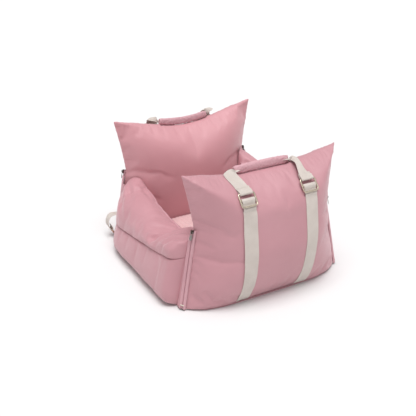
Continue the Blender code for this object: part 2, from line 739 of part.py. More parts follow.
def main():
    for old in list(bpy.data.objects):
        bpy.data.objects.remove(old)
    satin = material("pink_satin_polyester", (0.60, 0.32, 0.35), 0.45)
    plush = material("pale_plush", (0.84, 0.62, 0.61), 0.95)
    cream = material("cream_webbing", (0.82, 0.77, 0.70), 0.85)
    stuffing = material("fibre_filling", (0.90, 0.90, 0.88), 0.95)
    foam = material("seat_foam", (0.88, 0.84, 0.70), 0.9)
    board = material("base_board", (0.12, 0.12, 0.13), 0.6)
    tape = material("zip_tape", (0.66, 0.40, 0.43), 0.7)
    metal = material("buckle_metal", (0.62, 0.54, 0.44), 0.3, 1.0)
    dark_metal = material("slider_metal", (0.20, 0.18, 0.16), 0.35, 1.0)

    base(satin, board, foam, satin, plush, stuffing)
    for end in (-1, 1):
        name = f"{end_name(end)}_panel"
        cover = pillow(name + "_cover", end, 0.0, satin)
        cut(cover, pillow(name + "_lining", end, COVER_INSET, satin))
        middle = end * SEAM_Y
        cut(cover, box(name + "_slit", (-0.05, middle - 0.008, -0.01), (0.05, middle + 0.008, 0.014), satin))
        pillow(name + "_filling", end, FILL_INSET, stuffing)
        for hand in (-1, 1):
            face_strap(end, hand, cream)
            buckle(end, hand, metal)
            zip_half(end, hand, 1, tape)
            zip_half(end, hand, -1, tape)
            slider(end, hand, dark_metal)
            pull(end, hand, metal)
        handle_webbing(end, cream)
        grip(end, satin, stuffing)

    for hand in (-1, 1):
        def arm(p, q, r, inset=0.0, hand=hand):
            return arm_place(hand, p, q, r, inset)

        def wall(p, q, r, inset=0.0, hand=hand):
            return wall_place(hand, p, q, r, inset)

        x = sorted((hand * 0.195, hand * 0.225))
        stuffed(f"{hand_name(hand)}_arm", (6, 10, 3), arm, (x[0], -0.04, 0.09), (x[1], 0.04, 0.132),
                satin, stuffing)
        stuffed(f"{hand_name(hand)}_wall", (4, 10, 3), wall, (x[0], -0.04, -0.01), (x[1], 0.04, 0.015),
                satin, stuffing)
        belt_loop(hand, cream, cream, metal)

    pivot("cushion_seat", (0, 0.003, FOAM_TOP), ["cushion_cover", "cushion_filling"])
    for end in (-1, 1):
        hang_end(end)
    for hand in (-1, 1):
        hang_side(hand)


main()
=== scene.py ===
"""Looks for a convertible booster seat bag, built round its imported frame.

Padded pieces start from the form that their patterns give, are puffed up by a short cloth simulation with
their seams held, and take their folds and puckers afterwards. `end` is -1 for the front and +1 for the rear,
and `hand` is -1 for the left and +1 for the right. Lengths are in metres.
"""

import json
import math

import bmesh
import bpy
import numpy as np
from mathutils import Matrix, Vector, noise
from mathutils.bvhtree import BVHTree


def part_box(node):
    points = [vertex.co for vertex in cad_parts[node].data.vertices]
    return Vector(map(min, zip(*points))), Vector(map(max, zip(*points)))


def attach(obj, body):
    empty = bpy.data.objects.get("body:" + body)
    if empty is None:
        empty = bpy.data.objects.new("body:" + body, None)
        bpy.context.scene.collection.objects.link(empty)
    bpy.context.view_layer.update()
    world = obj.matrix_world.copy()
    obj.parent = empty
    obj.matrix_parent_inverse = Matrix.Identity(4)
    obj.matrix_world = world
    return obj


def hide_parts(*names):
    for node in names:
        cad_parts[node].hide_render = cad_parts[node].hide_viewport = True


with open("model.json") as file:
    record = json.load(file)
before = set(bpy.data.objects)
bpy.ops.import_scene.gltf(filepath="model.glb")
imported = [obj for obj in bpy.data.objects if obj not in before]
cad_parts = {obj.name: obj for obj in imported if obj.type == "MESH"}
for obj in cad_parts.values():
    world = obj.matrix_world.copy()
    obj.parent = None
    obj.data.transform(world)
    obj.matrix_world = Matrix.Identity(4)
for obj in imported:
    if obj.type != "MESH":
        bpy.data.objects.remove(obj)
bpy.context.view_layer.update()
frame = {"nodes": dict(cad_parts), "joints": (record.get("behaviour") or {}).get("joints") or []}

# ---- sizes shared with the frame ----
FLOOR_GAP = 0.0045          # from the ground up to the panels' and walls' undersides
EAR_X, EAR_Z = {-1: 0.2545, 1: 0.2505}, 0.403
EAR_TOP = {-1: 0.405, 1: 0.4095}
ZIP_FOOT_X, ZIP_SLOPE, ZIP_FOOT_Z, ZIP_HEAD_Z = 0.268, 0.193, 0.010, 0.238
SEAM_Y = 0.239
LEAN = {-1: 0.062, 1: 0.037}            # how far a panel's seams lean out for each metre of height
TOP_SAG = {-1: 0.032, 1: 0.049}         # how far a panel's top edge dips between its ears
TOP_CURVE = {-1: 2.0, 1: 1.15}          # round in front, a nearly straight fall to the middle behind
OUTER_BULGE = {-1: 0.108, 1: 0.0869}
INNER_BULGE = 0.090
RIDGE = 7.0                 # how sharply a panel's top slope meets its face, on the way to each ear
SIDE_HINGE_X = 0.304
ARM_INNER_X = 0.168
ARM_CREST_END, ARM_CREST_MID = 0.244, 0.192
SIDE_SEAM = {-1: 0.155, 1: 0.078}       # the height of the seam between arm and wall, front and rear
SIDE_BULGE = {-1: 0.055, 1: 0.049}
SIDE_FULLNESS = {           # how far towards its zip a side stays full: the left one has slumped
    (-1, -1): 26.0, (-1, 1): 6.0, (1, -1): 2.4, (1, 1): 5.0,
}
LEFT_CREST = 0.177, 0.222, 0.168, 0.209      # in the middle, at the rear, in the dip and at the front
WEB_X, WEB_WIDTH, WEB_THICK = 0.100, 0.038, 0.0017
BELT_WIDTH = 0.025
WEB_COUNT = 9               # points across a strap or a handle's webbing
GRIP_TALL = {-1: 0.0138, 1: 0.0126}     # half a grip's height in its middle
GRIP_DENT = 0.013           # half the width of the dent that a grip presses in the panel's top edge
STRAP_FOOT = 0.0062         # the height of the seam that holds a strap's lower end
STRAP_HEAD = 0.340          # the height above which a strap no longer presses the panel in
STRAP_PRESS = 0.0016        # how far a strap presses the panel in
SKIN_DEPTH = 0.0078         # from a buckle's middle plane in to the panel's skin
REAR_LIFT = {"crest": 0.0090, "roll": 6, "tip": 40, "curl": 0.85, "route": [(0.040, -0.016), (0.030, 0.0010)]}
HANDLE_LIFT = {             # a handle's webbing, from its buckle to its grip
    (-1, -1): {"crest": 0.0035, "roll": 5, "tip": 25, "curl": 0.95,
               "route": [(0.062, -0.022), (0.040, -0.010)]},
    (-1, 1): {"crest": 0.0050, "roll": 30, "tip": 40, "curl": 0.58, "route": [(0.060, -0.013), (0.038, 0.0)]},
    (1, -1): REAR_LIFT,
    (1, 1): REAR_LIFT,
}
PUFF_FRAMES = 16            # how long the cloth simulation runs
PUCKER = 0.0006             # how deep the puckers along a panel's seams are
X, Y, Z = Vector((1, 0, 0)), Vector((0, 1, 0)), Vector((0, 0, 1))


def end_name(end):
    return "front" if end < 0 else "rear"


def hand_name(hand):
    return "left" if hand < 0 else "right"


def corner_name(end, hand):
    return f"{end_name(end)}_{hand_name(hand)}"


def polar(radius, degrees):
    """The two coordinates of a point on a circle."""
    return radius * math.cos(math.radians(degrees)), radius * math.sin(math.radians(degrees))


def ease(share):
    """A share from 0 to 1 that starts and ends gently."""
    return share * share * (3 - 2 * share)


def superellipse(turn, power):
    """A point on a rounded square of half width 1, a turn from 0 to 1 round it."""
    c, s = math.cos(math.tau * turn), math.sin(math.tau * turn)
    return math.copysign(abs(c) ** (2 / power), c), math.copysign(abs(s) ** (2 / power), s)


# ---- materials ----
class Nodes:
    """A material's node tree, with short calls to add and join nodes."""

    def __init__(self, name):
        self.material = bpy.data.materials.new(name)
        self.material.use_nodes = True
        self.tree = self.material.node_tree
        self.shader = self.tree.nodes["Principled BSDF"]

    def add(self, kind, **inputs):
        node = self.tree.nodes.new("ShaderNode" + kind)
        for key, value in inputs.items():
            self.put(node, key.replace("_", " "), value)
        return node

    def put(self, node, key, value):
        socket = node.inputs[int(key[1:])] if key[0] == "i" and key[1:].isdigit() else node.inputs[key]
        if isinstance(value, bpy.types.NodeSocket):
            self.tree.links.new(value, socket)
        else:
            socket.default_value = value

    def set(self, **inputs):
        for key, value in inputs.items():
            self.put(self.shader, key.replace("_", " "), value)

    def cloth(self):
        """The cloth's own flat coordinates, across it and along it."""
        node = self.add("UVMap")
        node.uv_map = "cloth"
        split = self.add("SeparateXYZ", Vector=node.outputs[0])
        return split.outputs[0], split.outputs[1]

    def noise(self, scale, detail=3.0, rough=0.5):
        place = self.add("TexCoord").outputs["Object"]
        return self.add("TexNoise", Vector=place, Scale=scale, Detail=detail, Roughness=rough).outputs["Fac"]

    def math(self, operation, a, b=0.0, c=0.0):
        node = self.add("Math", i0=a, i1=b, i2=c)
        node.operation = operation
        return node.outputs[0]

    def wave(self, value, pitch):
        return self.math("SINE", self.math("MULTIPLY", value, math.tau / pitch))

    def spread(self, value, low, high, to_low=0.0, to_high=1.0):
        inputs = {"Value": value, "From_Min": low, "From_Max": high, "To_Min": to_low, "To_Max": to_high}
        return self.add("MapRange", **inputs).outputs[0]

    def mix(self, factor, a, b):
        node = self.add("Mix")
        node.data_type = "RGBA"
        for key, value in (("i0", factor), ("i6", a), ("i7", b)):
            self.put(node, key, value)
        return node.outputs[2]

    def mottle(self, scale, base, shade):
        """A colour that wanders between two tones."""
        return self.mix(self.spread(self.noise(scale, 4.0), 0.3, 0.7), base, shade)

    def bump(self, height, distance, strength=1.0, normal=None):
        node = self.add("Bump", Height=height, Distance=distance, Strength=strength)
        if normal:
            self.put(node, "Normal", normal)
        return node.outputs[0]


def rgb(r, g, b):
    """A linear colour from 8-bit sRGB values."""
    def lift(c):
        c /= 255
        return c / 12.92 if c <= 0.04045 else ((c + 0.055) / 1.055) ** 2.4
    return (lift(r), lift(g), lift(b), 1.0)


def dim(colour, factor):
    """A darker tone of a linear colour."""
    return tuple(c * factor for c in colour[:3]) + (1.0,)


def satin(name, base, shade, roughness=0.42):
    """Smooth woven polyester: a fine weave, a faint sheen and slow changes of tone."""
    n = Nodes(name)
    worn = n.noise(60.0, 2.0)
    across, along = n.cloth()
    weave = n.math("MULTIPLY", n.wave(across, 0.0011), n.wave(along, 0.0011))
    colour = n.mix(n.spread(weave, -1, 1, 0.0, 0.10), n.mottle(7.0, base, shade), dim(shade, 0.72))
    n.set(Base_Color=colour, Sheen_Weight=0.30, Sheen_Roughness=0.45, Sheen_Tint=(1.0, 0.86, 0.88, 1.0),
          Specular_IOR_Level=0.42, Roughness=n.spread(worn, 0.25, 0.75, roughness - 0.05, roughness + 0.08))
    slub = n.bump(n.noise(260.0, 2.0), 0.0003, 0.25)
    n.set(Normal=n.bump(weave, 0.00012, 0.55, slub))
    return n.material


def webbing(name, base, shade):
    """Woven webbing: fine ribs along it, picks across them, and painted shade in the gaps between them."""
    n = Nodes(name)
    across, along = n.cloth()
    ribs = n.wave(across, 0.0019)
    picks = n.wave(n.math("MULTIPLY_ADD", ribs, 0.00035, along), 0.0013)
    height = n.math("MULTIPLY_ADD", picks, 0.5, ribs)
    # painted shade: the low parts of the weave are darkened
    gaps = n.spread(height, -1.5, 0.6, 0.38, 0.0)
    colour = n.mix(gaps, n.mottle(25.0, base, shade), dim(shade, 0.55))
    n.set(Base_Color=colour, Roughness=0.85, Sheen_Weight=0.25, Sheen_Roughness=0.6, Specular_IOR_Level=0.3)
    fuzz = n.bump(n.noise(900.0, 2.0), 0.0002, 0.3)
    n.set(Normal=n.bump(height, 0.00035, 0.8, fuzz))
    return n.material


def plush(name, base, shade):
    """Short plush: soft tufts over ribs, with painted shade down between the tufts, bright where it's seen
    edge on.
    """
    n = Nodes(name)
    tufts = n.noise(420.0, 3.0, rough=0.7)
    # painted shade: the low parts of the pile are darkened
    deep = n.spread(tufts, 0.35, 0.65, 0.35, 0.0)
    colour = n.mix(deep, n.mottle(26.0, base, shade), dim(shade, 0.7))
    n.set(Base_Color=colour, Roughness=0.95, Sheen_Weight=0.7, Sheen_Roughness=0.35, Specular_IOR_Level=0.2,
          Sheen_Tint=(1.0, 0.9, 0.9, 1.0))
    n.set(Normal=n.bump(tufts, 0.0016, 0.9))
    return n.material


def metal(name, base, roughness):
    """Plated metal with fine scratches and slightly duller patches."""
    n = Nodes(name)
    scratch = n.noise(1400.0, 2.0)
    n.set(Base_Color=n.mix(n.spread(n.noise(300.0), 0.35, 0.65), base, dim(base, 0.8)),
          Metallic=1.0, Roughness=n.spread(scratch, 0.3, 0.7, roughness - 0.06, roughness + 0.10),
          Normal=n.bump(scratch, 0.00004, 0.1))
    return n.material


def plain(name, base, roughness, bump_scale, bump_depth):
    """A matte material with a fine grain."""
    n = Nodes(name)
    grain = n.noise(bump_scale, 4.0, rough=0.6)
    n.set(Base_Color=n.mix(n.spread(grain, 0.35, 0.65), base, dim(base, 0.86)),
          Roughness=roughness, Normal=n.bump(grain, bump_depth, 0.7))
    return n.material


PINK = satin("pink_satin", rgb(200, 147, 155), rgb(192, 139, 147))
# painted light: a lighter copy of the pink satin for the rear panel, standing in for light on the shaded
# inside of the seat
PINK_REAR_PAINTED_LIGHT = satin("pink_satin_rear_painted_light", rgb(213, 155, 162), rgb(205, 147, 154))
# painted highlight: a lighter copy of the pink satin for the zip lips, the arm piping and the grips; the belt
# tabs share it
PINK_TRIM_PAINTED_HIGHLIGHT = satin("pink_trim_painted_highlight", rgb(214, 167, 175), rgb(206, 158, 166), 0.5)
# the coil is a real part of the zip; its darker tone is painted shade of the gap between the lips
COIL_PAINTED_SHADE = satin("zip_coil_painted_shade", rgb(186, 132, 140), rgb(172, 120, 128), 0.35)
PLUSH = plush("pale_plush", rgb(232, 196, 196), rgb(224, 184, 185))
CREAM = webbing("cream_webbing", rgb(230, 219, 211), rgb(219, 207, 198))
GOLD = metal("champagne_plating", rgb(222, 209, 188), 0.30)
STEEL = metal("grey_plating", rgb(150, 146, 142), 0.30)
GUNMETAL = metal("dark_plating", rgb(92, 76, 72), 0.34)
BRASS = metal("brass_plating", rgb(186, 150, 104), 0.28)
CREAM_THREAD = plain("cream_thread", rgb(236, 228, 214), 0.7, 2500.0, 0.0002)
FOAM = plain("open_foam", rgb(232, 226, 204), 0.95, 900.0, 0.0008)
BOARD = plain("board", rgb(70, 70, 74), 0.6, 400.0, 0.0002)


# ---- mesh helpers ----
def added(name, data):
    """A new object in the scene."""
    obj = bpy.data.objects.new(name, data)
    bpy.context.scene.collection.objects.link(obj)
    return obj


def patches(name, grids, material):
    """One mesh from grids of points with their flat cloth coordinates, joined where their edges meet."""
    points, faces, flat = [], [], []
    for grid, cloth in grids:
        rows, columns = grid.shape[:2]
        start = len(points)
        points += [tuple(p) for p in grid.reshape(-1, 3)]
        flat += [tuple(p) for p in cloth.reshape(-1, 2)]
        for i in range(rows - 1):
            for j in range(columns - 1):
                a = start + i * columns + j
                faces.append((a, a + 1, a + columns + 1, a + columns))
    mesh = bpy.data.meshes.new(name)
    mesh.from_pydata(points, [], faces)
    layer = mesh.uv_layers.new(name="cloth")
    for loop in mesh.loops:
        layer.data[loop.index].uv = flat[loop.vertex_index]
    form = bmesh.new()
    form.from_mesh(mesh)
    bmesh.ops.remove_doubles(form, verts=form.verts, dist=1e-5)
    bmesh.ops.dissolve_degenerate(form, edges=form.edges, dist=1e-6)
    bmesh.ops.recalc_face_normals(form, faces=form.faces)
    if form.calc_volume(signed=True) < 0:
        bmesh.ops.reverse_faces(form, faces=form.faces)
    form.to_mesh(mesh)
    form.free()
    mesh.shade_smooth()
    mesh.materials.append(material)
    return added(name, mesh)


def end_cap(rows, cloth, k):
    """A flat fan that closes a tube of rows at its row k."""
    middle = np.broadcast_to(rows[k].mean(axis=0), rows[k].shape)
    return np.stack([rows[k], middle], axis=1), np.stack([cloth[k], cloth[k]], axis=1)


def sweep(name, sections, profile, material, closed=False):
    """A profile of (width, height) pairs carried along sections.

    A section is its middle, its side and normal directions, and its width and height scales.
    """
    ring = list(profile) + [profile[0]]
    lengths = [0.0]
    for a, b in zip(ring, ring[1:]):
        lengths.append(lengths[-1] + math.dist(a, b))
    rows, cloth, run = [], [], 0.0
    for k, (middle, side, normal, wide, tall) in enumerate(sections):
        if k:
            run += (middle - sections[k - 1][0]).length
        rows.append([tuple(middle + side * (w * wide) + normal * (h * tall)) for w, h in ring])
        cloth.append([(s, run) for s in lengths])
    grids = [(np.array(rows), np.array(cloth))]
    if not closed:
        for k in (0, -1):
            middle = sections[k][0]
            cap = np.array([[tuple(p), tuple(middle)] for p in rows[k]])
            grids.append((cap, np.array([[(s, cloth[k][0][1]), (0.0, cloth[k][0][1])] for s in lengths])))
    return patches(name, grids, material)


def oval(wide, tall, sides=16, power=2.0):
    around = [superellipse(k / sides, power) for k in range(sides)]
    return [(wide / 2 * c, tall / 2 * s) for c, s in around]


def curve_through(points, step):
    """Evenly spaced points on a smooth curve through the given ones."""
    dense = []
    for i in range(len(points) - 1):
        a, b = points[max(i - 1, 0)], points[i]
        c, d = points[i + 1], points[min(i + 2, len(points) - 1)]
        for k in range(24):
            t = k / 24
            dense.append(0.5 * (2 * b + (c - a) * t + (2 * a - 5 * b + 4 * c - d) * t * t
                                + (3 * b - a - 3 * c + d) * t ** 3))
    dense.append(points[-1])
    runs = [0.0]
    for a, b in zip(dense, dense[1:]):
        runs.append(runs[-1] + (b - a).length)
    count = max(int(runs[-1] / step), 2)
    found, k = [], 0
    for i in range(count + 1):
        want = runs[-1] * i / count
        while k < len(runs) - 2 and runs[k + 1] < want:
            k += 1
        share = (want - runs[k]) / max(runs[k + 1] - runs[k], 1e-9)
        found.append(dense[k].lerp(dense[k + 1], share))
    return found


def heading_at(points, i):
    """The way that a line of points runs at its point i."""
    return (points[min(i + 1, len(points) - 1)] - points[max(i - 1, 0)]).normalized()


def frames_along(points, side):
    """Sweep sections through points, all with the same side direction."""
    return [(point, side, side.cross(heading_at(points, i)).normalized(), 1.0, 1.0)
            for i, point in enumerate(points)]


def crowded(count, share):
    """Places from -1 to 1 that crowd towards both ends."""
    even = np.linspace(-1, 1, count)
    return np.sin(even * math.pi / 2) * share + even * (1 - share)


def coordinates(obj):
    found = np.empty(len(obj.data.vertices) * 3)
    obj.data.vertices.foreach_get("co", found)
    return found.reshape(-1, 3)


def set_coordinates(obj, points):
    obj.data.vertices.foreach_set("co", points.astype(float).ravel())
    obj.data.update()


def normals(obj):
    found = np.empty(len(obj.data.vertices) * 3, dtype=np.float32)
    obj.data.vertex_normals.foreach_get("vector", found)
    return found.reshape(-1, 3).astype(float)


def puff(obj, held, pressure, growth, cap):
    """A short simulation: cloth cut a little large is filled by pressure, held points stay."""
    start = coordinates(obj)
    group = obj.vertex_groups.new(name="held")
    for index, weight in enumerate(held):
        if weight > 0:
            group.add([index], float(weight), "REPLACE")
    modifier = obj.modifiers.new("cloth", "CLOTH")
    settings = modifier.settings
    settings.quality = 6
    settings.mass = 0.12
    settings.tension_stiffness = settings.compression_stiffness = 18
    settings.shear_stiffness = 6
    settings.bending_stiffness = 1.2
    settings.air_damping = 2.0
    settings.vertex_group_mass = "held"
    settings.use_pressure = True
    settings.uniform_pressure_force = pressure
    settings.shrink_min = -growth
    settings.effector_weights.gravity = 0
    modifier.collision_settings.use_collision = False
    scene = bpy.context.scene
    scene.frame_start, scene.frame_end = 1, PUFF_FRAMES
    for number in range(1, PUFF_FRAMES + 1):
        scene.frame_set(number)
    graph = bpy.context.evaluated_depsgraph_get()
    after = np.array([tuple(v.co) for v in obj.evaluated_get(graph).data.vertices])
    obj.modifiers.remove(modifier)
    obj.vertex_groups.remove(group)
    scene.frame_set(1)
    move = after - start
    length = np.linalg.norm(move, axis=1, keepdims=True)
    move *= np.tanh(length / cap) * cap / np.maximum(length, 1e-9)
    set_coordinates(obj, start + move)


def subdivide(obj):
    modifier = obj.modifiers.new("smooth", "SUBSURF")
    modifier.levels = modifier.render_levels = 1
    modifier.uv_smooth = "PRESERVE_BOUNDARIES"
    bpy.context.view_layer.objects.active = obj
    bpy.ops.object.modifier_apply(modifier=modifier.name)


def crease(obj, folds):
    """Pushes a skin in along folds, each from a to b over the surface, with soft ends and raised lips."""
    points, facing = coordinates(obj), normals(obj)
    tree = surface(obj)
    for a, b, depth, width in folds:
        line = []
        for k in range(41):
            hit, _, _, _ = tree.find_nearest(Vector(a).lerp(Vector(b), k / 40))
            line.append(tuple(hit))
        gaps = np.linalg.norm(points[:, None] - np.array(line)[None], axis=2)
        t = gaps.argmin(axis=1) / 40
        away = gaps.min(axis=1) / width
        fade = np.sin(np.pi * np.clip(t, 0.02, 0.98)) ** 0.6
        shape = np.exp(-away ** 2) - 0.45 * np.exp(-(away - 1.9) ** 2)
        points = points - facing * (depth * fade * shape)[:, None]
    set_coordinates(obj, points)


def slack(obj, depth, scale, seed):
    """Soft unevenness that loose cloth keeps wherever it isn't stretched."""
    points, facing = coordinates(obj), normals(obj)
    broad = np.array([noise.noise(Vector(p) * scale + Vector((seed, 0, 0))) for p in points])
    small = np.array([noise.noise(Vector(p) * scale * 3.1 + Vector((0, seed, 0))) for p in points])
    set_coordinates(obj, points + facing * (depth * (broad + 0.35 * small))[:, None])


def surface(obj):
    graph = bpy.context.evaluated_depsgraph_get()
    return BVHTree.FromObject(obj, graph)


def cast(tree, point, outward, reach=0.07):
    """Where a line that comes in from outside meets a skin, and the way the skin faces there."""
    hit, facing, _, _ = tree.ray_cast(point + outward * reach, -outward, 2 * reach)
    if hit is None:
        return point, outward
    return hit, facing if facing.dot(outward) > 0 else -facing


def web(name, rows, thick, material):
    """Webbing from rows of (point, facing) across its width, with round edges and closed ends."""
    grid, cloth, run = [], [], 0.0
    for k, row in enumerate(rows):
        middle = row[len(row) // 2][0]
        if k:
            run += (middle - rows[k - 1][len(row) // 2][0]).length
        across = (row[-1][0] - row[0][0]).normalized()
        ring = [(p + n * (thick / 2), (p - row[0][0]).length) for p, n in row]
        for (p, n), way, order in ((row[-1], 1, (60, 20, -20, -60)), (row[0], -1, (-60, -20, 20, 60))):
            if way < 0:
                ring += [(q - m * (thick / 2), (q - row[0][0]).length) for q, m in reversed(row)]
            reach = (p - row[0][0]).length
            for angle in order:
                c, s = polar(thick / 2, angle)
                ring.append((p + across * (way * c) + n * s, reach))
        ring.append(ring[0])
        grid.append([tuple(p) for p, _ in ring])
        cloth.append([(reach, run) for _, reach in ring])
    grid, cloth = np.array(grid), np.array(cloth)
    return patches(name, [(grid, cloth), end_cap(grid, cloth, 0), end_cap(grid, cloth, -1)], material)


def across_row(middle, side, facing, width, count=7, most=0.006):
    """A row of points across webbing: straight at full width, arched by up to `most` where it's narrower."""
    rise = min(width * math.sqrt(max(WEB_WIDTH / width - 1, 0) * 0.375), most)
    row = []
    for k in range(count):
        t = 2 * k / (count - 1) - 1
        place = middle + side * (width * t / 2) + facing * (rise * (0.6 - t * t))
        row.append((place, (facing + side * (4.0 * rise * t / width)).normalized()))
    return row


# ---- the padded panels ----
def handle_pin(end):
    """The line that a handle turns about: the middle of its buckles' top bars."""
    joint = next(j for j in frame["joints"] if j["name"] == end_name(end) + "_handle_swing")
    return Vector(joint["pos_m"])


def buckle_frame(end, hand):
    """A buckle's centre, the way up it and the way out of it."""
    low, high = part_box(f"{end_name(end)}_buckle_{hand_name(hand)}")
    centre = (Vector(low) + Vector(high)) / 2
    pin = handle_pin(end)
    up = Vector((0, pin.y - centre.y, pin.z - centre.z)).normalized()
    return centre, up, Vector((0, end * up.z, -end * up.y))


def seam_y(end, z):
    return end * SEAM_Y + LEAN[end] * z


def zip_x(z):
    return ZIP_FOOT_X - ZIP_SLOPE * z


def edge_x(end, z):
    share = np.clip((z - ZIP_HEAD_Z) / (EAR_Z - ZIP_HEAD_Z), 0, 1)
    above = zip_x(ZIP_HEAD_Z) + (EAR_X[end] - zip_x(ZIP_HEAD_Z)) * share ** 1.3
    return np.where(z <= ZIP_HEAD_Z, zip_x(z), above)


def outer_share(v):
    return np.where(v > 0.6, np.maximum(1 - (np.maximum(v - 0.6, 0) / 0.4) ** 4.5, 0) ** 1.1,
                    1 - 0.52 * (np.maximum(0.6 - v, 0) / 0.6) ** 2.2)


def inner_share(v):
    return np.where(v > 0.55, np.maximum(1 - ((v - 0.55) / 0.45) ** 3, 0) ** 0.7,
                    1 - 0.12 * (np.maximum(0.55 - v, 0) / 0.55) ** 2)


def top_edge(end, u):
    return EAR_TOP[end] - TOP_SAG[end] * (1 - np.abs(u) ** TOP_CURVE[end])


def panel_point(end, u, v, face):
    top = top_edge(end, u)
    z = FLOOR_GAP + v * (top - FLOOR_GAP)
    x = u * edge_x(end, z)
    if face > 0:
        square = 3 + 3 * np.clip(1 - v / 0.4, 0, 1)
        square = square + 2.0 * np.exp(-((v - 0.58) / 0.22) ** 2) * (u > 0) * (end < 0)
        across = np.maximum(1 - np.abs(u) ** square, 1e-6)
        up = np.maximum(outer_share(v), 1e-6)
        ridge = (up ** -RIDGE + across ** -RIDGE) ** (-1 / RIDGE)
        high = np.clip((v - 0.45) / 0.25, 0, 1)
        depth = OUTER_BULGE[end] * (up * across * (1 - high) + ridge * high) * (1 - 0.10 * np.exp(-v / 0.05))
        depth = np.where((np.abs(u) > 0.99999) | (v > 0.99999), 0.0, depth)
    else:
        depth = INNER_BULGE * inner_share(v) * (1 - np.abs(u) ** 3)
    return np.stack([x, seam_y(end, z) + end * face * depth, z], axis=-1)


def panel(end):
    """A padded panel: an outer and an inner sheet, sewn at the sides and top, with a flat foot."""
    columns, rows = 84, 60
    u = crowded(columns + 1, 0.35)
    v = np.linspace(0, 1, rows + 1)
    v = v + 0.06 * np.sin(v * math.tau) / math.tau
    uu, vv = np.meshgrid(u, v)
    grids = []
    cloth = np.stack([uu * 0.30, vv * 0.46], axis=-1)
    for face in (1, -1):
        grids.append((panel_point(end, uu, vv, face), cloth + (0.0 if face > 0 else 0.7)))
    outer, inner = grids[0][0][0], grids[1][0][0]
    steps = np.linspace(0, 1, 15)[:, None, None]
    foot = outer[None] * (1 - steps) + inner[None] * steps
    grids.append((foot, np.stack([np.broadcast_to(u * 0.30, foot.shape[:2]),
                                  np.broadcast_to(-steps[:, :, 0] * 0.13, foot.shape[:2])], axis=-1)))
    name = end_name(end) + "_panel"
    # the rear panel takes the lighter copy of the satin: painted light for the shade inside the seat
    obj = patches(name, grids, PINK if end < 0 else PINK_REAR_PAINTED_LIGHT)
    points = coordinates(obj)
    y = points[:, 1] - seam_y(end, points[:, 2])
    held = np.zeros(len(points))
    held[np.abs(y) < 0.0008] = 1.0
    held[points[:, 2] < FLOOR_GAP + 0.0005] = 1.0
    near_zip = (points[:, 2] < ZIP_HEAD_Z) & (np.abs(y) < 0.004)
    held[near_zip] = np.maximum(held[near_zip], 0.6)
    puff(obj, held, pressure=3.0, growth=0.020, cap=0.008)
    settle(obj, end)
    subdivide(obj)
    slack(obj, depth=0.0012, scale=11.0, seed=5.0 * end)
    gather(obj, end)
    return obj


def gather(obj, end):
    """Small puckers along the top and side seams, and a dent in the top edge where the grip rests."""
    points, facing = coordinates(obj), normals(obj)
    u = np.clip(points[:, 0] / edge_x(end, points[:, 2]), -1, 1)
    below = top_edge(end, u) - points[:, 2]
    beside = (1 - np.abs(u)) * edge_x(end, points[:, 2])
    wander = np.array([noise.noise(Vector(p) * 30) for p in points])
    top = np.cos(points[:, 0] * math.tau / 0.0140 + 6.0 * wander) * np.exp(-((below - 0.009) / 0.009) ** 2)
    edge = np.cos(points[:, 2] * math.tau / 0.0150 + 6.0 * wander) * np.exp(-((beside - 0.008) / 0.008) ** 2)
    high = np.clip((points[:, 2] - ZIP_HEAD_Z) / 0.02, 0, 1)
    points = points + facing * (PUCKER * top + PUCKER * edge * high)[:, None]
    left, right = grip_centre(end, -1).x, grip_centre(end, 1).x
    along = np.clip((points[:, 0] - left) / (right - left), 0, 1)
    for t in np.linspace(-1, 1, 25):
        centre = grip_centre(end, float(t))
        near = (np.abs(along * 2 - 1 - t) < 0.06) & (np.abs(points[:, 1] - centre.y) < GRIP_DENT)
        near &= (points[:, 0] > left) & (points[:, 0] < right)
        under = centre.z - GRIP_TALL[end] - 0.0004 + 0.004 * ((points[:, 1] - centre.y) / GRIP_DENT) ** 2
        points[:, 2] = np.where(near, np.minimum(points[:, 2], under), points[:, 2])
    set_coordinates(obj, points)


def settle(obj, end):
    """Eases a panel in or out so that its skin lies just behind both buckles, and under the straps."""
    tree = surface(obj)
    points, facing = coordinates(obj), normals(obj)
    for hand in (-1, 1):
        centre, _, out = buckle_frame(end, hand)
        wanted = centre - out * SKIN_DEPTH
        found, _ = cast(tree, centre, out)
        near = np.linalg.norm(points - np.array(centre), axis=1)
        points = points - np.array(out) * ((found - wanted).dot(out) * np.exp(-(near / 0.05) ** 2))[:, None]
    outside = (points[:, 1] - seam_y(end, points[:, 2])) * end > 0.01
    off = np.abs(np.abs(points[:, 0]) - WEB_X) - WEB_WIDTH / 2
    press = 1 / (1 + np.exp(off / 0.0025)) * outside * np.clip((STRAP_HEAD - points[:, 2]) / 0.02, 0, 1)
    set_coordinates(obj, points - facing * (STRAP_PRESS * press)[:, None])


# ---- the bolster sides ----
def seam_height(s):
    return SIDE_SEAM[-1] + (SIDE_SEAM[1] - SIDE_SEAM[-1]) * (s + 1) / 2


def inner_face(end, x, z):
    if z < FLOOR_GAP or abs(x) >= float(edge_x(end, np.float64(z))):
        return None
    u = abs(x) / float(edge_x(end, np.float64(z)))
    top = float(top_edge(end, u))
    v = (z - FLOOR_GAP) / (top - FLOOR_GAP)
    if v >= 1:
        return None
    return abs(seam_y(end, z)) - INNER_BULGE * float(inner_share(np.float64(v))) * (1 - u ** 3)


def swing_limit(end, x, z):
    """How far from the middle a side may reach at x, z and stay clear of the panel as it folds out."""
    reach = math.hypot(SIDE_HINGE_X - x, z - 0.004)
    start = math.atan2(z - 0.004, SIDE_HINGE_X - x)
    limit = SEAM_Y + min(LEAN[end] * end * ZIP_HEAD_Z, 0.0)
    for step in range(16):
        angle = start + (math.pi - start) * step / 15
        found = inner_face(end, SIDE_HINGE_X - reach * math.cos(angle), 0.004 + reach * math.sin(angle))
        if found is not None:
            limit = min(limit, found)
    return limit - 0.0030


def placed(s, x, z):
    return s * swing_limit(-1 if s < 0 else 1, x, z)


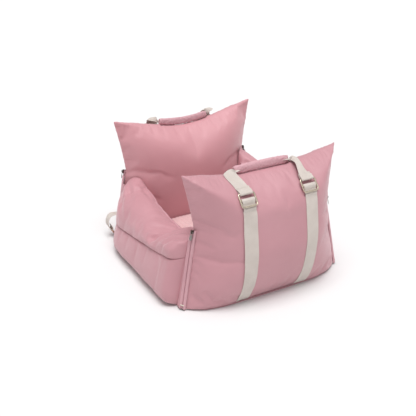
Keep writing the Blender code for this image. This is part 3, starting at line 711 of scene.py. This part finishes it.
def crest_height(hand, s):
    """How high a bolster's top stands at s: the left one dips, then climbs to its front zip."""
    if hand > 0:
        return ARM_CREST_MID + (ARM_CREST_END - ARM_CREST_MID) * s * s
    middle, rear, dip, front = LEFT_CREST
    if s > 0:
        return middle + (rear - middle) * s ** 1.2
    sink = min(-s / 0.35, 1.0)
    rise = ease(min(max((-s - 0.35) / 0.5, 0.0), 1.0))
    return middle + (dip - middle) * sink + (front - dip) * rise


def side_section(hand, kind, s, turn):
    """A point (x, z) on a side's outline at s: the bolster arm or the wall, for a turn from 0 to 1."""
    upper = turn <= 0.5
    seam = seam_height(s)
    belly = SIDE_BULGE[hand] * (1 - abs(s) ** SIDE_FULLNESS[hand, -1 if s < 0 else 1])
    if kind == "arm":
        crest, low, waist = crest_height(hand, s), seam + 0.0002, 0.34
        power = 2.3 if upper else 12.0
    else:
        crest, low, waist = seam - 0.0002, FLOOR_GAP, 0.5
        power = 16.0 if upper else 5.0
    across, rise = superellipse(turn, power)
    middle = low + (crest - low) * waist
    z = middle + (crest - middle if rise > 0 else middle - low) * rise
    share = (z - low) / (crest - low)
    if kind == "arm":
        outer = zip_x(z) + belly * (0.60 + 0.40 * math.sin(math.pi * (0.28 + 0.50 * share)))
    else:
        outer = zip_x(z) + belly * (0.82 + 0.18 * math.sin(math.pi * (0.15 + 0.75 * share)))
        outer -= 0.004 * (1 - share) ** 6
    inner = ARM_INNER_X + 0.0015
    x = (inner + outer) / 2 + (outer - inner) / 2 * across
    if kind == "wall" and x > outer - 0.0045 and share < 0.05:
        z = 0.0010
    return x, z


def side(hand, kind):
    """A bolster arm, or the wall under it, between the front and the rear zips."""
    around, pressure, growth = (56, 2.6, 0.022) if kind == "arm" else (48, 2.2, 0.012)
    rows, cloth = [], []
    for s in crowded(77, 0.25):
        row = []
        for k in range(around + 1):
            x, z = side_section(hand, kind, float(s), (k % around) / around)
            row.append((hand * x, placed(float(s), x, z), z))
        rows.append(row)
        cloth.append([(k / around * 0.42, s * 0.26) for k in range(around + 1)])
    rows, cloth = np.array(rows), np.array(cloth)
    grids = [(rows, cloth)]
    steps = np.linspace(0, 1, 7)[:, None, None]
    for k, index in ((0, 0), (1, -1)):
        ring = rows[index]
        grids.append((ring[None] * (1 - steps) + ring.mean(axis=0) * steps,
                      np.broadcast_to(cloth[index][None], (7,) + cloth[index].shape) + k + 1))
    obj = patches(f"{hand_name(hand)}_{kind}", grids, PINK)
    points = coordinates(obj)
    held = np.zeros(len(points))
    held[np.abs(points[:, 0]) < ARM_INNER_X + 0.006] = 0.5
    for s, index in ((-1, 0), (1, -1)):
        held[points[:, 1] * s > np.min(np.abs(rows[index][:, 1])) - 0.002] = 0.85
    seam = seam_height(points[:, 1] / SEAM_Y)
    near = np.abs(points[:, 2] - seam) < 0.004
    held[near] = np.maximum(held[near], 0.9)
    held[points[:, 2] < FLOOR_GAP + 0.001] = 1.0
    puff(obj, held, pressure, growth, cap=0.006)
    return obj


def arm_folds(hand):
    """Folds of a bolster: they fan out from the zips' heads and cross the top where it bends."""
    folds = [((0.205, -0.130, 0.190), (0.285, -0.045, 0.150), -0.0050, 0.0080),
             ((0.215, -0.165, 0.205), (0.292, -0.100, 0.160), -0.0040, 0.0075),
             ((0.210, -0.148, 0.200), (0.290, -0.072, 0.155), 0.0055, 0.0075),
             ((0.225, -0.222, 0.225), (0.285, -0.150, 0.165), 0.0045, 0.0080),
             ((0.200, -0.090, 0.180), (0.275, -0.020, 0.165), 0.0030, 0.0080),
             ((0.226, 0.225, 0.220), (0.262, 0.120, 0.195), 0.0045, 0.0090),
             ((0.243, 0.222, 0.190), (0.295, 0.120, 0.150), 0.0035, 0.0090),
             ((0.200, 0.190, 0.205), (0.205, 0.080, 0.185), 0.0030, 0.0080),
             ((0.190, -0.020, 0.175), (0.260, 0.010, 0.182), 0.0022, 0.0100),
             ((0.192, 0.050, 0.180), (0.262, 0.020, 0.178), 0.0020, 0.0110)]
    return [((hand * a[0], *a[1:]), (hand * b[0], *b[1:]), depth, width) for a, b, depth, width in folds]


def build_sides():
    made = {}
    for hand in (-1, 1):
        for kind in ("arm", "wall"):
            obj = side(hand, kind)
            subdivide(obj)
            if kind == "arm":
                crease(obj, arm_folds(hand))
            slack(obj, depth=0.0012, scale=14.0, seed=3.0 * hand)
            made[hand, kind] = obj
            nodes = f"{obj.name}_cover", f"{obj.name}_filling"
            fit(obj, hand_name(hand) + "_side", "pink_satin_polyester", *nodes)
    return made


# ---- the cushion and base ----
def cushion():
    """A plush cushion with a ribbed top, crowned in the middle and drawn in between its corners."""
    half_x, half_y, middle_y, low, high = 0.157, 0.1375, 0.0078, 0.0588, 0.1020
    count = 110
    u = np.linspace(-1, 1, count + 1)
    uu, vv = np.meshgrid(u, u)
    crown = (1 - np.abs(uu) ** 4) ** 0.6 * (1 - np.abs(vv) ** 4) ** 0.6
    x = uu * half_x * (1 - 0.025 * (1 - vv ** 2))
    y = middle_y + vv * half_y * (1 - 0.025 * (1 - uu ** 2))
    middle = low + (high - low) * 0.42
    top = middle + (high - middle) * crown
    bottom = middle - (middle - low) * crown ** 0.4
    ribs = 0.0011 * np.cos(math.tau * (x + 0.16) / 0.0125) * crown ** 0.5
    grids = [(np.stack([x, y, top - 0.0012 + ribs], axis=-1), np.stack([x, y], axis=-1)),
             (np.stack([x, y, bottom], axis=-1), np.stack([x + 1, y], axis=-1))]
    obj = patches("seat_cushion", grids, PLUSH)
    points = coordinates(obj)
    ripple = np.array([noise.noise(Vector(p) * 16.0) for p in points])
    points[:, 2] += ripple * 0.0016 * np.clip((points[:, 2] - middle) / 0.02, 0, 1)
    set_coordinates(obj, points)
    fit(obj, "cushion", "pale_plush", "cushion_cover", "cushion_filling")


# ---- straps, buckles and handles ----
def strap(end, hand, panel_tree):
    """A strap sewn in at a panel's foot, laid up its face, and taken over a buckle's middle bar."""
    centre, up, out = buckle_frame(end, hand)
    ground = centre - out * SKIN_DEPTH
    xs = [hand * WEB_X + WEB_WIDTH * (k / (WEB_COUNT - 1) - 0.5) for k in range(WEB_COUNT)]
    stations = [STRAP_FOOT + (centre.z - 0.0285 - STRAP_FOOT) * k / 60 for k in range(61)]
    reach = []
    for z in stations:
        own = np.array([abs(cast(panel_tree, Vector((x, end * 0.33, z)), Y * end, 0.09)[0].y) for x in xs])
        reach.append(np.maximum(own, 0.35 * own + 0.65 * own.mean()))
    reach = np.array(reach)
    smooth = reach.copy()
    for _ in range(3):
        smooth[1:-1] = (smooth[:-2] + 2 * smooth[1:-1] + smooth[2:]) / 4
    reach = np.maximum(smooth, reach) + 0.0011
    rows = []
    for i, z in enumerate(stations):
        a, b = max(i - 1, 0), min(i + 1, len(stations) - 1)
        slope = (reach[b].mean() - reach[a].mean()) / (stations[b] - stations[a])
        facing = Vector((0, end, -slope)).normalized()
        rows.append([(Vector((x, end * far, z)), facing) for x, far in zip(xs, reach[i])])
    loop = [(-0.0250, 0.0022), (-0.0180, 0.0024), (-0.0125, 0.0036), (-0.0080, 0.0072), (-0.0036, 0.0101),
            (0.0, 0.0108), (0.0030, 0.0096), (0.0042, 0.0072), (0.0034, 0.0044), (0.0012, 0.0026)]
    line = curve_through([Vector((0, s, n)) for s, n in loop], 0.0011)
    for i, point in enumerate(line):
        heading = line[min(i + 1, len(line) - 1)] - line[max(i - 1, 0)]
        facing = (out * heading.y - up * heading.z).normalized()
        place = ground + up * point.y + out * point.z
        place.x = hand * WEB_X
        rows.append(across_row(place, X, facing, WEB_WIDTH, WEB_COUNT))
    return web(f"{end_name(end)}_strap_{hand_name(hand)}_web", rows, WEB_THICK, CREAM)


def bent_bar(name, centre, axes, size, bar, material):
    """An oval bar bent to a rounded rectangle.

    axes are its side, up and out directions; size is its half width, half height and corner.
    """
    side, up, out = axes
    half_w, half_h, corner = size
    points = []
    for sx, sy, start in ((1, 1, 0), (-1, 1, 90), (-1, -1, 180), (1, -1, 270)):
        for turned in (0, 18, 36, 54, 72, 90):
            c, s = polar(corner, start + turned)
            points.append(centre + side * (sx * (half_w - corner) + c) + up * (sy * (half_h - corner) + s))
    sections = []
    for i, point in enumerate(points):
        heading = (points[(i + 1) % len(points)] - points[i - 1]).normalized()
        sections.append((point, heading.cross(out).normalized(), out, 1.0, 1.0))
    return sweep(name, sections + [sections[0]], oval(*bar), material, closed=True)


def join(name, parts):
    """Makes one object of several."""
    with bpy.context.temp_override(active_object=parts[0], selected_editable_objects=parts):
        bpy.ops.object.join()
    parts[0].name = parts[0].data.name = name
    return parts[0]


def buckle(end, hand):
    """A three-bar slide: a rounded frame of plated bar, flattened a little, and a round middle bar."""
    centre, up, out = buckle_frame(end, hand)
    half_w = WEB_WIDTH / 2 + 0.0047
    size, section = (half_w, 0.0185, 0.0052), (0.0048, 0.0040, 16, 2.6)
    frame_bar = bent_bar("frame", centre, (X, up, out), size, section, GOLD)
    middle = [centre + X * (half_w * t) for t in (-1, -0.5, 0, 0.5, 1)]
    bar = sweep("bar", [(p, up, out, 1.0, 1.0) for p in middle], oval(0.0042, 0.0034, 16, 2.6), GOLD)
    return join(f"{end_name(end)}_buckle_{hand_name(hand)}_slide", [frame_bar, bar])


def grip_centre(end, t):
    """A grip's middle line at t, from -1 at its left end to 1."""
    if end < 0:
        return Vector((0.0885 * t, -0.2125 + 0.0030 * t * t, 0.3835 - 0.0035 * t * t))
    return Vector((-0.0040 + 0.0865 * t, 0.2590, 0.3705 + 0.0095 * t * t))


def handle_web(end, hand, panel_tree):
    """Half of a handle's webbing: an eye round the buckle's top bar, a lift, a turn to the grip."""
    centre, up, out = buckle_frame(end, hand)
    pin = centre + up * (handle_pin(end) - centre).dot(up)
    pin.x = 0
    radius = 1.3 * (0.0022 + WEB_THICK / 2)
    path = [(0.0200, -0.0042), (0.0120, -0.0046), (0.0050, -0.0040)]
    path += [polar(radius, a) for a in (-90, -125, -160, -200, -235, -270)]
    start = [pin + up * s + out * n for s, n in path]
    lifted = HANDLE_LIFT[end, hand]
    land = grip_centre(end, hand)
    turn_x = abs(land.x) + 0.0035
    crest = Vector((0, land.y + end * 0.014, land.z + lifted["crest"]))
    climb = [pin + up * 0.0080 + out * 0.0014]
    climb += [Vector((0, land.y + end * away, land.z + rise)) for away, rise in lifted["route"]]
    line = curve_through(start + climb + [crest], 0.0022)
    total = len(line) - 1
    first = next(i for i, p in enumerate(line) if (p - pin).dot(up) > 0.010 and i > total * 0.3)
    rows = []
    for i, point in enumerate(line):
        heading = heading_at(line, i)
        share = max(i - first, 0) / (total - first)
        eased = ease(share)
        x = hand * (WEB_X + (turn_x + WEB_WIDTH * lifted["curl"] / 2 - WEB_X) * eased)
        roll = math.radians(lifted["roll"]) * math.sin(math.pi * min(share * 1.1, 1.0))
        side = X * math.cos(roll) - Z * (hand * math.sin(roll))
        middle = Vector((x, point.y, point.z))
        width = WEB_WIDTH * (1 + (lifted["curl"] - 1) * eased)
        facing = (X if width > 0.99 * WEB_WIDTH else side).cross(heading).normalized() * -end
        row = []
        for place, out_of in across_row(middle, side, facing, width, WEB_COUNT):
            if share > 0.02:
                hit, _, _, _ = panel_tree.ray_cast(Vector((place.x, place.y, 0.5)), -Z)
                if hit is not None:
                    place.z = max(place.z, hit.z + 0.0014)
            row.append((place, out_of))
        rows.append(row)
    start_width = WEB_WIDTH * lifted["curl"]
    pivot = Vector((hand * turn_x, crest.y, crest.z))
    low = land.z - crest.z
    for step in range(1, 15):
        share = step / 14
        c, s = polar(1.0, 90 * share)
        reach = Vector((hand * c, -end * s, 0))
        width = start_width + (0.0108 - start_width) * share ** 0.8
        rise = low * share ** 1.6 + 0.0030 * math.sin(math.pi * share)
        middle = pivot + reach * (width / 2) + Z * rise
        c, s = polar(1.0, lifted["tip"] * share)
        reach = (reach * c - Z * s).normalized()
        facing = (Z * c + reach * s).normalized()
        rows.append(across_row(middle, reach * hand, facing, width, WEB_COUNT))
    inside = grip_centre(end, hand * 0.80)
    last = [p.copy() for p, _ in rows[-1]]
    shift = inside - sum(last, Vector()) / WEB_COUNT
    facing = rows[-1][0][1]
    for share in (0.35, 0.7, 1.0):
        rows.append([(p + shift * share, facing) for p in last])
    name = f"{end_name(end)}_handle_web_{hand_name(hand)}"
    return web(name, rows, WEB_THICK, CREAM)


def grip(end):
    """A padded sleeve round the webbing: flattened, wrinkled, gathered at its ends, with a seam below."""
    around, along = 40, 96
    tall_end, seam_angle = (0.0132, 287) if end < 0 else (0.0110, 262)
    tall_rise = GRIP_TALL[end] - tall_end
    rows, cloth = [], []
    for i in range(along + 1):
        t = -1 + 2 * i / along
        centre = grip_centre(end, t)
        ahead, behind = grip_centre(end, min(t + 0.02, 1)), grip_centre(end, max(t - 0.02, -1))
        heading = (ahead - behind).normalized()
        deep = heading.cross(Z).normalized()
        tall = deep.cross(heading).normalized()
        near = 1 - abs(t)
        swell = 1 - 0.10 * math.exp(-near / 0.05)
        row = []
        for k in range(around + 1):
            angle = math.tau * (k % around) / around
            c, n = math.cos(angle), math.sin(angle)
            half_deep, half_tall = 0.0074 * swell, (tall_end + tall_rise * (1 - t * t)) * swell
            round_c, round_n = superellipse((k % around) / around, 2 / 0.9)
            place = centre + deep * (half_deep * round_c) + tall * (half_tall * round_n)
            outward = (deep * (c / half_deep) + tall * (n / half_tall)).normalized()
            wrinkle = noise.noise(Vector((t * 7 + 2.3 * end, c * 1.1 + t * 2.0, n * 1.3 - t * 2.5)) * 1.7)
            fine = noise.noise(Vector((t * 26, c * 2.2, n * 2.2 + 5 * end)))
            depth = -0.0030 * abs(wrinkle) ** 0.8 + 0.0013 * fine
            depth += 0.00045 * math.cos(angle * 9 + 3 * t) * math.exp(-near / 0.07)
            depth += 0.0013 * math.exp(-((angle - math.radians(seam_angle)) / 0.11) ** 2)
            depth -= 0.0011 * math.exp(-((angle - math.radians(seam_angle + 16)) / 0.12) ** 2)
            row.append(tuple(place + outward * depth))
        rows.append(row)
        cloth.append([(k / around * 0.055, t * 0.086) for k in range(around + 1)])
    rows, cloth = np.array(rows), np.array(cloth)
    grids = [(rows, cloth)]
    for index, way in ((0, -1), (-1, 1)):
        middle = rows[index].mean(axis=0)
        tuck = [rows[index] * size + middle * (1 - size) + np.array([way * past, 0, 0])
                for size, past in ((1.0, 0.0), (0.72, 0.0006), (0.45, -0.0020), (0.0, -0.0030))]
        grids.append((np.array(tuck), np.broadcast_to(cloth[index][None], (4,) + cloth[index].shape)))
    # the grip takes the lighter trim satin: painted light on its top
    return patches(end_name(end) + "_grip", grids, PINK_TRIM_PAINTED_HIGHLIGHT)


# ---- zips ----
def zip_line(end, hand):
    """A zip's foot, the way up it, the way across it to the panel, the way out of it, and its length."""
    foot, head = (Vector((hand * zip_x(z), seam_y(end, z), z)) for z in (ZIP_FOOT_Z, ZIP_HEAD_Z))
    up = (head - foot).normalized()
    out = Vector((hand * 0.835, end * 0.550, 0))
    out = (out - up * out.dot(up)).normalized()
    across = up.cross(out)
    if across.y * end < 0:
        across = -across
    return foot + out * 0.0036, up, across, out, (head - foot).length


def zip_half(end, hand, way):
    """One half of a zip: tape with a rolled lip, coil turns along it, and a side's tape back to it."""
    foot, up, across, out, length = zip_line(end, hand)
    foot = foot - up * 0.0050
    length += 0.0050 if way > 0 else -0.0110
    lip = [(0.0006, -0.0030), (0.0006, 0.0006), (0.0030, 0.0008), (0.0050, 0.0009), (0.0055, 0.0022),
           (0.0064, 0.0033), (0.0076, 0.0032), (0.0085, 0.0022), (0.0090, 0.0008), (0.0098, 0.0002),
           (0.0102, -0.0030)]
    sections = []
    for k in range(61):
        s = length * k / 60
        wave = 0.00025 * noise.noise(Vector((s * 60, hand * 3.1, end * 2.2 + way)))
        sections.append((foot + up * s + out * wave, across, out, 1.0, 1.0))
    # the lip takes the lighter trim satin: a painted highlight along its rolled edge
    pieces = [sweep("lip", sections, [(way * w, o) for w, o in lip], PINK_TRIM_PAINTED_HIGHLIGHT)]
    if way < 0:
        tape = [(0.0088, 0.0000), (0.0150, -0.0030), (0.0215, -0.0100), (0.0211, -0.0114), (0.0144, -0.0044),
                (0.0088, -0.0014)]
        pieces.append(sweep("tape", sections[:-7], [(way * w, o) for w, o in tape], PINK))
    turns = []
    pitch = 0.0016
    for k in range(int((length - 0.006) / pitch) * 2 + 1):
        place = foot + up * (0.005 + k * pitch / 2) + across * (way * 0.0007) + out * 0.0006
        turns.append((place, across, out, 0.62 if k % 2 else 1.0, 0.55 if k % 2 else 1.0))
    # the coil's darker satin paints the shade between the two lips
    coil = sweep("coil", turns, oval(0.0019, 0.0018, 8), COIL_PAINTED_SHADE)
    tack = sweep("tack", [(foot + up * s + across * (way * 0.0030) + out * 0.0030, across, out, w, w)
                          for s, w in ((0.0100, 0.3), (0.0104, 1.0), (0.0128, 1.0), (0.0132, 0.3))],
                 oval(0.0056, 0.0026, 12, 3.0), CREAM_THREAD)
    owner = "panel" if way > 0 else "side"
    return join(f"zip_{corner_name(end, hand)}_{owner}_lip", pieces + [coil, tack])


def slider(end, hand):
    """A zip slider: a plate with two shoulders that narrows to its tail, and a bridge for the pull."""
    foot, up, across, out, length = zip_line(end, hand)
    start = foot + up * (length - 0.0105)
    outline = [(0.0, -0.0006), (0.0022, -0.0002), (0.0030, 0.0014), (0.0037, 0.0052), (0.0047, 0.0082),
               (0.0045, 0.0108), (0.0028, 0.0124), (0.0010, 0.0112)]
    outline += [(-w, s) for w, s in reversed(outline[1:])]
    outline.append(outline[0])
    middle = 0.0060
    rows = []
    layers = (0.0018, 0.90), (0.0030, 1.0), (0.0042, 1.0), (0.0050, 0.88), (0.0052, 0.60), (0.0052, 0.0)
    for height, size in layers:
        rows.append([tuple(start + across * (w * size) + up * (middle + (s - middle) * size) + out * height)
                     for w, s in outline])
    plate = patches("plate", [(np.array(rows), np.array([outline] * len(rows)))], GUNMETAL)
    arch = [(0.0022, 0.0044), (0.0030, 0.0068), (0.0052, 0.0086), (0.0080, 0.0088), (0.0102, 0.0072),
            (0.0108, 0.0046)]
    line = curve_through([start + up * s + out * o for s, o in arch], 0.0007)
    bridge = sweep("bridge", frames_along(line, across), oval(0.0026, 0.0013, 10, 3.0), GUNMETAL)
    return join(f"zip_slider_{corner_name(end, hand)}_body", [plate, bridge])


def pull(end, hand):
    """A zip pull: an eye on the slider's bridge and a flat tab with a raised ring on it."""
    foot, up, across, out, length = zip_line(end, hand)
    pivot = foot + up * (length - 0.0026) + out * 0.0067
    axes = across, up, out
    eye = bent_bar("eye", pivot - up * 0.0050, axes, (0.0026, 0.0056, 0.0022), (0.0015, 0.0013, 10), STEEL)
    rows, cloth = [], []
    stations = [(-0.0100, 0.0016), (-0.0118, 0.0022), (-0.0135, 0.0034), (-0.0160, 0.0038), (-0.0200, 0.0039),
                (-0.0235, 0.0036), (-0.0252, 0.0026), (-0.0258, 0.0012)]
    for s, half in stations:
        row = [tuple(pivot + up * s + across * w + out * o) for w, o in oval(2 * half, 0.0013, 20, 5.0)]
        rows.append(row + [row[0]])
        cloth.append([(k, s) for k in range(21)])
    rows, cloth = np.array(rows), np.array(cloth)
    tab = patches("tab", [(rows, cloth), end_cap(rows, cloth, 0), end_cap(rows, cloth, -1)], STEEL)
    rim = bent_bar("rim", pivot - up * 0.0185, axes, (0.0020, 0.0048, 0.0018), (0.0009, 0.0019, 8), STEEL)
    return join(f"zip_pull_{corner_name(end, hand)}_tab", [eye, tab, rim])


# ---- the rear belt loops ----
def belt_loop(hand):
    """A loop of webbing off the rear panel's edge, its ring, and the tab that holds the ring."""
    low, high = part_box(f"belt_ring_{hand_name(hand)}")
    centre = (Vector(low) + Vector(high)) / 2
    lengthways = Vector((hand * 0.0065, 0, 0.011)).normalized()
    half_h = 0.0064
    axes, size = (Y, lengthways, Y.cross(lengthways)), (0.0145, half_h, 0.0035)
    ring = bent_bar(f"belt_ring_{hand_name(hand)}_bar", centre, axes, size, (0.0028, 0.0026, 12), BRASS)

    def route(places):
        """Points at (x, z, how far behind the ring's middle)."""
        return [Vector((hand * x, centre.y - back, z)) for x, z, back in places]

    def wrap(bar, angles):
        """Points round one of the ring's bars."""
        turns = [polar(0.0028, a) for a in angles]
        return [bar + Vector((hand * c, 0, s)) for c, s in turns]

    def ribbon(name, points, step, end_width, taper, material):
        """Webbing through points, narrower where it starts."""
        rows = []
        for k, (point, side, out, _, _) in enumerate(frames_along(curve_through(points, step), Y)):
            width = end_width + (BELT_WIDTH - end_width) * min(k / taper, 1.0)
            rows.append(across_row(point, side, out, width, most=0.0))
        return web(f"{name}_{hand_name(hand)}_web", rows, 0.0015, material)

    top = centre + lengthways * half_h
    points = route([(0.2320, 0.0830, 0.0150), (0.2480, 0.0830, 0.0110), (0.2640, 0.0825, 0.0050),
                    (0.2720, 0.0805, 0.0010), (0.2810, 0.0743, 0.0), (0.2872, 0.0625, 0.0),
                    (0.2884, 0.0480, 0.0), (0.2845, 0.0365, 0.0)])
    points += wrap(top, (55, 5, -45, -95, -140))
    points += [top + Vector((-hand * 0.0042, 0, 0.0040)), top + Vector((-hand * 0.0020, 0, 0.0140))]
    loop = ribbon("belt_loop", points, 0.0022, 0.013, 11, CREAM)
    points = route([(0.2400, 0.0108, 0.0150), (0.2520, 0.0102, 0.0090), (0.2600, 0.0098, 0.0030),
                    (0.2665, 0.0108, 0.0)])
    points += wrap(centre - lengthways * half_h, (285, 325, 365, 405, 445))
    return loop, ring, ribbon("belt_tab", points, 0.0016, 0.010, 13, PINK_TRIM_PAINTED_HIGHLIGHT)


def piping(hand, tree):
    """A thin corded seam along the inner top edge of a bolster arm."""
    points, facings = [], []
    for s in np.linspace(-0.93, 0.93, 97):
        x, z = side_section(hand, "arm", float(s), 0.375)
        hit, facing, _, _ = tree.find_nearest(Vector((hand * x, placed(float(s), x, z), z)))
        points.append(hit + facing * 0.0002)
        facings.append(facing)
    sections = []
    for i, (point, facing) in enumerate(zip(points, facings)):
        side = heading_at(points, i).cross(facing).normalized()
        sections.append((point, side, facing, 1.0, 1.0))
    # the lighter trim satin paints a highlight along the arm's inner edge
    return sweep(f"{hand_name(hand)}_arm_piping", sections, oval(0.0034, 0.0030, 10), PINK_TRIM_PAINTED_HIGHLIGHT)


def fit(obj, body, slot_name, *nodes):
    """Puts a visual piece on its body, in place of its CAD nodes."""
    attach(obj, body)
    if nodes:
        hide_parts(*nodes)


def build_hardware():
    for end in (-1, 1):
        name = end_name(end)
        tree = surface(PANELS[end])
        webs = []
        for hand in (-1, 1):
            corner, side_name = corner_name(end, hand), hand_name(hand)
            fit(strap(end, hand, tree), name + "_panel", "cream_webbing", f"{name}_strap_{side_name}")
            fit(buckle(end, hand), name + "_panel", "buckle_metal", f"{name}_buckle_{side_name}")
            webs.append(handle_web(end, hand, tree))
            fit(zip_half(end, hand, 1), name + "_panel", "zip_tape", f"zip_{corner}_panel_half")
            fit(zip_half(end, hand, -1), side_name + "_side", "zip_tape", f"zip_{corner}_side_half")
            fit(slider(end, hand), f"zip_slider_{corner}", "slider_metal", f"zip_slider_{corner}")
            fit(pull(end, hand), f"zip_pull_{corner}", "buckle_metal", f"zip_pull_{corner}")
        fit(join(name + "_handle_web", webs), name + "_handle", "cream_webbing", name + "_handle_webbing")
        sleeve = grip(end)
        nodes = name + "_grip_sleeve", name + "_grip_padding"
        fit(sleeve, name + "_handle", "pink_satin_polyester", *nodes)
    for hand in (-1, 1):
        loop, ring, tab = belt_loop(hand)
        fit(loop, "rear_panel", "cream_webbing", f"belt_loop_{hand_name(hand)}")
        fit(ring, "rear_panel", "buckle_metal", f"belt_ring_{hand_name(hand)}")
        fit(tab, "rear_panel", "pink_satin_polyester", f"belt_tab_{hand_name(hand)}")
        fit(piping(hand, surface(SIDES[hand, "arm"])), hand_name(hand) + "_side", "pink_satin_polyester")


PANELS = {-1: panel(-1), 1: panel(1)}
for end, obj in PANELS.items():
    body = end_name(end) + "_panel"
    fit(obj, body, "pink_satin_polyester", body + "_cover", body + "_filling")
SIDES = build_sides()
cushion()
build_hardware()

BASE_LOOKS = {"base_panel": PINK, "base_lining": PINK, "base_foam": FOAM, "base_board": BOARD}
for name, material in BASE_LOOKS.items():
    node = frame["nodes"][name]
    node.data.materials.clear()
    node.data.materials.append(material)


# ---- camera, light and floor ----
def stage():
    view = bpy.data.cameras.new("camera")
    view.lens = 60.26
    view.sensor_width = 36.0
    camera = added("camera", view)
    camera.location = (-1.0032, -1.7101, 1.1307)
    target = Vector((-0.0473, 0.0084, 0.1626))
    camera.rotation_euler = (target - camera.location).to_track_quat("-Z", "Y").to_euler()
    bpy.context.scene.camera = camera

    mesh = bpy.data.meshes.new("floor")
    far = 60.0
    mesh.from_pydata([(-far, -far, 0), (far, -far, 0), (far, far, 0), (-far, far, 0)], [], [(0, 1, 2, 3)])
    floor = added("floor", mesh)
    n = Nodes("floor_paint")
    n.set(Base_Color=(0.78, 0.78, 0.78, 1.0), Roughness=0.9)
    mesh.materials.append(n.material)

    # a white sky, as bright as the floor near the horizon and dimmer above
    world = bpy.data.worlds.new("studio")
    bpy.context.scene.world = world
    world.use_nodes = True
    links, nodes = world.node_tree.links, world.node_tree.nodes
    sky = nodes["Background"]
    sky.inputs["Color"].default_value = (1.0, 1.0, 1.0, 1.0)
    kinds = "TexCoord", "SeparateXYZ", "MapRange"
    way, split, fade = (nodes.new("ShaderNode" + kind) for kind in kinds)
    links.new(way.outputs["Generated"], split.inputs["Vector"])
    links.new(split.outputs["Z"], fade.inputs["Value"])
    for socket, value in (("From Min", 0.08), ("From Max", 0.20), ("To Min", 1.0), ("To Max", 0.50)):
        fade.inputs[socket].default_value = value
    links.new(fade.outputs["Result"], sky.inputs["Strength"])
    lamp = bpy.data.lights.new("overhead", "SUN")
    lamp.energy = 2.62
    lamp.angle = math.radians(40)
    overhead = added("overhead", lamp)
    overhead.rotation_euler = Vector((-0.06, -0.15, 1.0)).to_track_quat("Z", "Y").to_euler()
    bpy.context.scene.view_settings.view_transform = "Standard"


stage()
